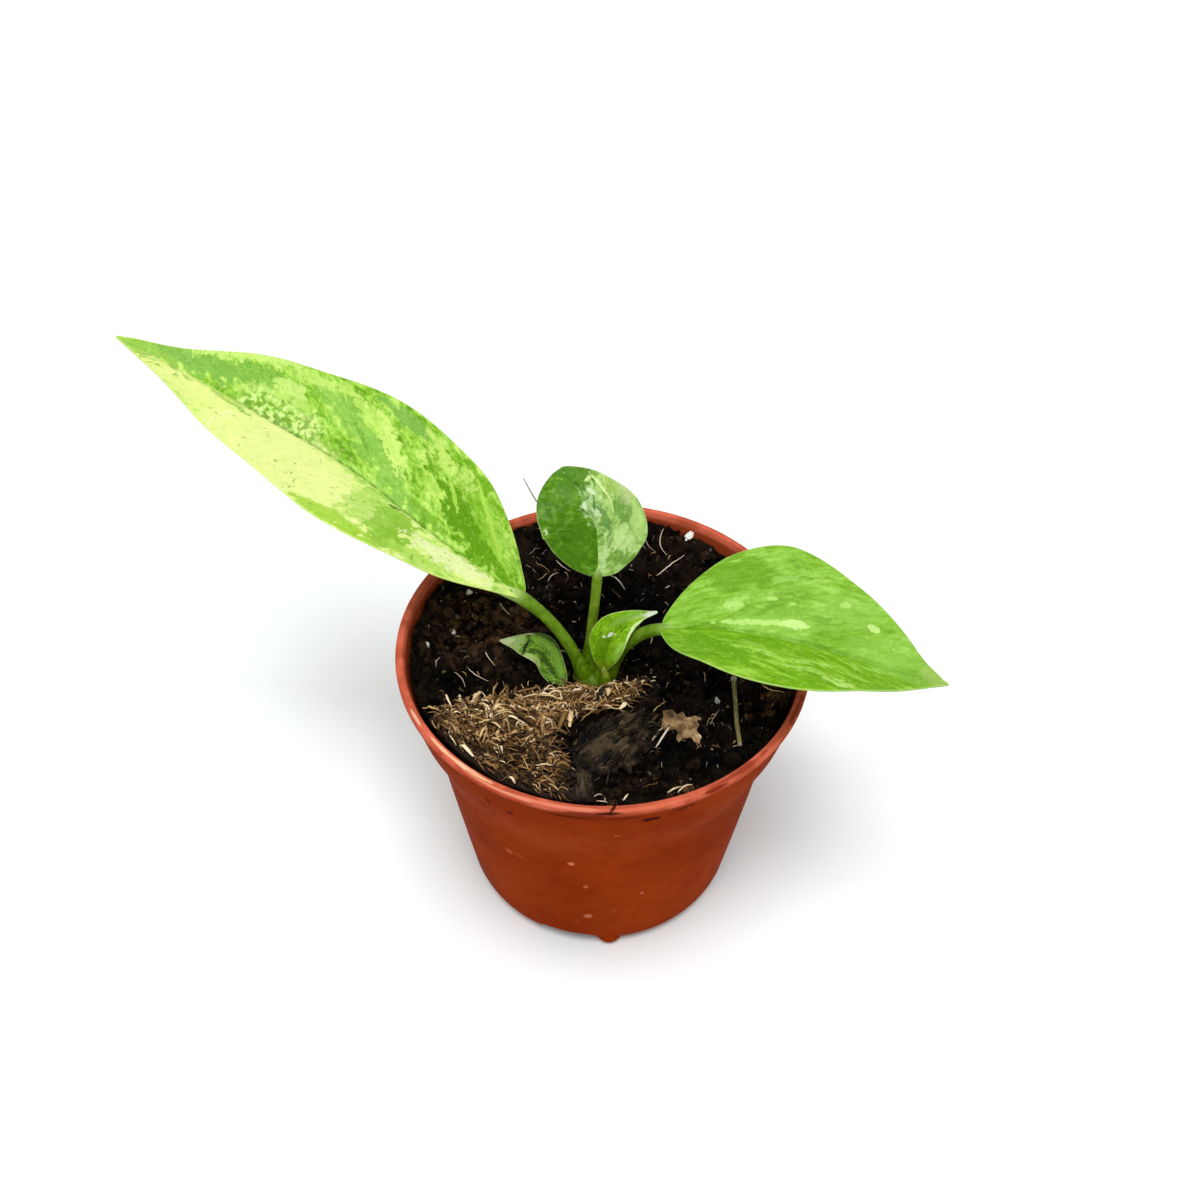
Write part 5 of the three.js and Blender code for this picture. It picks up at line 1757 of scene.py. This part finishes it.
def plug_finish():
    finish = Finish("dark_plug")
    place = finish.place()
    x, y, z = finish.split(place)
    strip = finish.join(x + y * 1.1, (y - x) * 3.2, z * 2.0)
    streak = finish.noise(strip, 330.0, detail=5.0, roughness=0.7)
    patch = finish.noise(place, 420.0, detail=3.0)
    tone, _, pale = finish.note("note")
    lit = streak * 0.55 + patch * 0.45 + tone
    colour = finish.ramp(lit, [(0.36, paint(6, 4, 3)), (0.46, paint(32, 24, 15)),
                               (0.57, paint(66, 54, 37)), (0.7, paint(98, 84, 62))])
    colour = finish.blend(pale, colour, paint(150, 140, 128))
    relief = finish.bump(streak, 0.35, 0.8)
    return finish.surface(colour, 0.55 + (streak - 0.5) * 0.4, relief, Specular_IOR_Level=0.1)


plug_skin = plug_finish()
print("the plug's finish takes", len(plug_skin.node_tree.nodes), "nodes")

# %% Plug
# Lumps of the plug: outline, middle, thickness, relief, raggedness, rings, sides, then how the
# tone grows with height: rate, height of tone 0 and highest tone; last the paleness
PLUG_LUMPS = [
    (PLUG_EDGE, PLUG_MIDDLE, 1.3, streaks(48, 0.95, 7.0), 1.3, 44, 240, 0.12, 1.8, 0.06, 0.0),
    (CHUNK_EDGE, CHUNK_MIDDLE, 1.0, streaks(92, 1.1, 12.0), 0.7, 34, 170, 0.14, 1.4, 0.1, 0.03),
]


def plug_ground(x, y):
    return peat_level(x, y) + 1.4


def build_plug():
    rng = np.random.default_rng(47)
    plug = Parts()
    for *shape, rate, level, highest, pale in PLUG_LUMPS:
        points, faces = mound(*shape)
        lie = points[:, 2] - peat_level(points[:, 0], points[:, 1])
        tone = np.clip(rate * (lie - level), -0.2, highest)
        plug.add(points, faces, np.stack([tone, 0 * lie, 0 * lie + pale], axis=1))
    edge = closed_edge(PLUG_EDGE, 120)
    for k in range(110):
        share = math.sqrt(rng.random()) * 1.04
        start = np.array(PLUG_MIDDLE) + (edge[rng.integers(120)] - PLUG_MIDDLE) * share
        heading = 0.84 + 0.45 * rng.normal() + (math.pi if rng.random() < 0.5 else 0)
        path, radii = strand(rng, start, heading, 0.6 + 2.2 * rng.random() ** 1.5,
                             0.08 + 0.2 * rng.random() ** 2, 0.3 * rng.normal(),
                             0.3 * rng.random(), plug_ground, 0.1)
        path[:, 2] -= 1.0 * share**4
        skin, faces = tube(path, radii, 5, 0.6)
        bright = 0.6 * rng.random() if k % 16 == 0 else 0.0
        plug.add(skin, faces, (-0.1 + 0.18 * rng.random(), 0, bright))
    return plug.piece("plug_lump", plug_skin, "plug", ["plug_chunk"])


build_plug()

# %% Scrap of leaf


def scrap_finish():
    finish = Finish("dry_leaf_scrap_skin")
    place = finish.place()
    x, y, _ = finish.split(place)
    cells = finish.noise(place, 900.0, detail=4.0)
    lines = finish.noise(finish.join(x * 3.0 + y, y * 0.6 - x * 0.3, 0.0), 700.0, detail=2.0)
    patch = finish.noise(place, 380.0, detail=2.0)
    # The last term makes the scrap lighter towards the front right and darker at the left and back:
    # a painted highlight and painted shade over its top.
    shade = cells * 0.4 + lines * 0.25 + patch * 0.35 + (x * 0.6 - y - 0.0198) * 14.0
    colour = finish.ramp(shade, [
        (0.36, paint(58, 42, 24)), (0.46, paint(104, 80, 52)), (0.55, paint(150, 122, 86)),
        (0.66, paint(206, 182, 146))])
    relief = finish.bump(lines + cells, 0.12, 0.7)
    return finish.surface(colour, 0.7 + (cells - 0.5) * 0.2, relief, Specular_IOR_Level=0.15)


def build_scrap():
    points, faces = mound(SCRAP_EDGE, SCRAP_MIDDLE, 0.15, lumps(0.9, 0.4, 9.0), 0.3, 18, 220,
                          smooth=False)
    return make_piece("leaf_scrap", points, faces, scrap_finish(), ["dry_leaf_scrap"])


build_scrap()

# %% [markdown]
# ## Straw and perlite
#
# A dry grass straw with a knot lies towards the front, and a few white perlite grains stand out
# of the dark compost. A plain cylinder would do for the straw, but a tube along a path can swell
# at the knot and lie with the ground. Perlite is a glassy foam: each grain is a ball pushed into
# a crumb.

# %% Straw
STRAW_COURSE = [(18.75, -5.1), (18.8, -8.8), (18.7, -13.2), (18.9, -17.5)]
STRAW_LIFT, STRAW_SIDES, KNOT_AT = 0.75, 14, 0.42


def straw_finish():
    finish = Finish("dry_straw")
    place = finish.place()
    x, y, z = finish.split(place)
    lines = finish.noise(finish.join(x * 6.0, y * 0.4, z * 6.0), 900.0, detail=3.0)
    colour = finish.ramp(lines, [(0.3, paint(70, 60, 30)), (0.5, paint(122, 112, 66)),
                                 (0.7, paint(166, 154, 104))])
    ends = finish.note("note")[0]
    colour = finish.blend(ends, colour, paint(158, 152, 140))
    relief = finish.bump(lines, 0.1, 0.7)
    return finish.surface(colour, 0.5 + (lines - 0.5) * 0.2, relief, Specular_IOR_Level=0.2)


def build_straw():
    raised = [(x, y, peat_level(x, y) + STRAW_LIFT) for x, y in STRAW_COURSE]
    shares = np.linspace(0, 1, 60)
    path = along_path(raised, shares)
    radii = 0.33 + 0.05 * np.exp(-(((shares - KNOT_AT) / 0.02) ** 2)) - 0.03 * shares
    straw = Parts()
    skin, faces = tube(path, radii, STRAW_SIDES)
    ends = np.repeat(np.clip((shares - 0.95) / 0.05, 0, 1) * 0.6, STRAW_SIDES)
    straw.add(skin, faces, np.stack([ends, ends, ends], axis=1))
    rng = np.random.default_rng(5)
    points, faces = crumb(rng, rough_ball(3), 0.42, 0.05)
    straw.add(points + path[0] + (0, 0.2, 0.2), faces, (0.9, 0, 0))
    return straw.piece("straw_stem", straw_finish(), "straw", ["straw"])


build_straw()

# %% Perlite
# Each grain: middle, radius and how dirty it is
GRAINS = [(13.2, 24.3, 0.9, 0), (-20.4, 12, 0.6, 0.45), (-22.2, 4.3, 0.5, 0.7),
          (16.3, -8.4, 0.55, 0.5), (-25.6, 0.7, 0.5, 0.75)]


def perlite_finish():
    finish = Finish("perlite_foam")
    place = finish.place()
    pores = finish.node("ShaderNodeTexVoronoi", {"feature": "F1"},
                        {"Vector": place, "Scale": 4200.0}, output="Distance")
    colour = finish.blend(pores.step(0.2, 0.6), paint(214, 208, 198), paint(252, 250, 246))
    dust = finish.noise(place, 1500.0, detail=4.0, roughness=0.7)
    dirty = finish.note("note")[0]
    colour = finish.blend(dirty * dust.step(0.3, 0.6), colour, paint(74, 66, 56))
    relief = finish.bump(pores, 0.12, 0.8)
    return finish.surface(colour, 0.6 + pores * 0.2, relief,
                          Subsurface_Weight=0.1, Subsurface_Scale=0.0004)


def build_perlite():
    rng = np.random.default_rng(41)
    grains = Parts()
    for x, y, radius, dirty in GRAINS:
        points, faces = clod(rng, rough_ball(4), radius)
        points = points / np.abs(points).max() * radius
        grains.add(points + (x, y, peat_level(x, y) + 0.7 * radius), faces, (dirty, 0, 0))
    return grains.piece("perlite_grains", perlite_finish(), "perlite",
                        [f"perlite_{k + 1}" for k in range(len(GRAINS))])


build_perlite()

# %% [markdown]
# ## Crown
#
# The leaf stalks rise from one short stem and clasp it with broad sheaths. The visible part is a
# green knuckle just above the compost; its roots go down into it. It could be sculpted from one
# ball; tubes that narrow upwards are chosen because they end exactly where the stalks begin.

# %% Crown
CROWN_AT = (-1.5, -2.8, 43.2)
STEM_COURSE = [CROWN_AT, (-1.4, -2.7, 39), (-1.2, -2.6, 34.2)]
# Sheaths of the leaf stalks: course, radii along it and flatness
SHEATHS = [
    ([(-2, -3.4, 42.8), (-3, -3.1, 45.6), (-4.1, -2.5, 48.2), (-5.2, -1.9, 50)],
     (2, 1.55, 1, 0.8), 0.85),
    ([(-0.6, -3.8, 42.8), (0.3, -3.5, 45.2), (1.6, -3.1, 47.9), (2.8, -3.1, 50.2)],
     (2.3, 1.75, 1.2, 0.85), 0.8),
    ([(-1.5, -2.4, 42.8), (-1.7, -1.8, 45.6), (-1.85, -1.2, 48.4), (-1.7, -0.9, 50.6)],
     (2.2, 1.7, 1.05, 0.72), 0.9),
    ([(-0.2, -4.6, 42.8), (0.3, -4.9, 44.6), (0.45, -4.95, 46.4)], (1.5, 1.1, 0.62), 0.9),
]


def crown_finish():
    finish = Finish("crown_skin")
    place = finish.place()
    x, y, z = finish.split(place)
    lines = finish.noise(finish.join(x * 4.0, y * 4.0, z * 0.6), 420.0, detail=3.0)
    colour = finish.ramp(lines, [(0.3, paint(60, 90, 4)), (0.55, paint(84, 114, 8)),
                                 (0.75, paint(116, 140, 26))])
    below = z.step(0.0452, 0.0442)
    colour = finish.blend(below * 0.7, colour, paint(92, 76, 44))
    relief = finish.bump(lines, 0.15, 0.5)
    return finish.surface(colour, 0.42 + (lines - 0.5) * 0.2, relief, Specular_IOR_Level=0.12)


def root_course(i):
    """The way of root number i, which spreads out and down from the crown."""
    degrees, drop = 20 + 72 * i, 9 + 3 * ((2 * i) % 5)
    start = np.array(CROWN_AT) + from_front(0.8, degrees, -2 - 1.1 * i)
    bends = ((4.5, 6, -0.3), (8.5, -8, -0.65), (10.5, 10, -1))
    return [start, *(start + from_front(out, degrees + turn, fall * drop)
                     for out, turn, fall in bends)]


def build_crown():
    crown = Parts()
    points, faces = rough_ball(4)
    knobbly = 1 + 0.05 * grain(points * 3, 1.6, 3.0)[:, None]
    crown.add(points * knobbly * (3.0, 3.0, 2.6) + CROWN_AT, faces)
    crown.add(*tube(along_path(STEM_COURSE, np.linspace(0, 1, 20)), np.linspace(2.4, 1.5, 20), 24))
    shares = np.linspace(0, 1, 30)
    for i in range(5):
        crown.add(*tube(along_path(root_course(i), shares), np.linspace(0.85, 0.45, 30), 12))
    for course, radii, flat in SHEATHS:
        width = np.interp(shares, np.linspace(0, 1, len(radii)), radii)
        crown.add(*tube(along_path(course, shares), width, 28, flat))
    return crown.piece("leaf_crown", crown_finish(), "crown", ["crown_and_roots"])


build_crown()
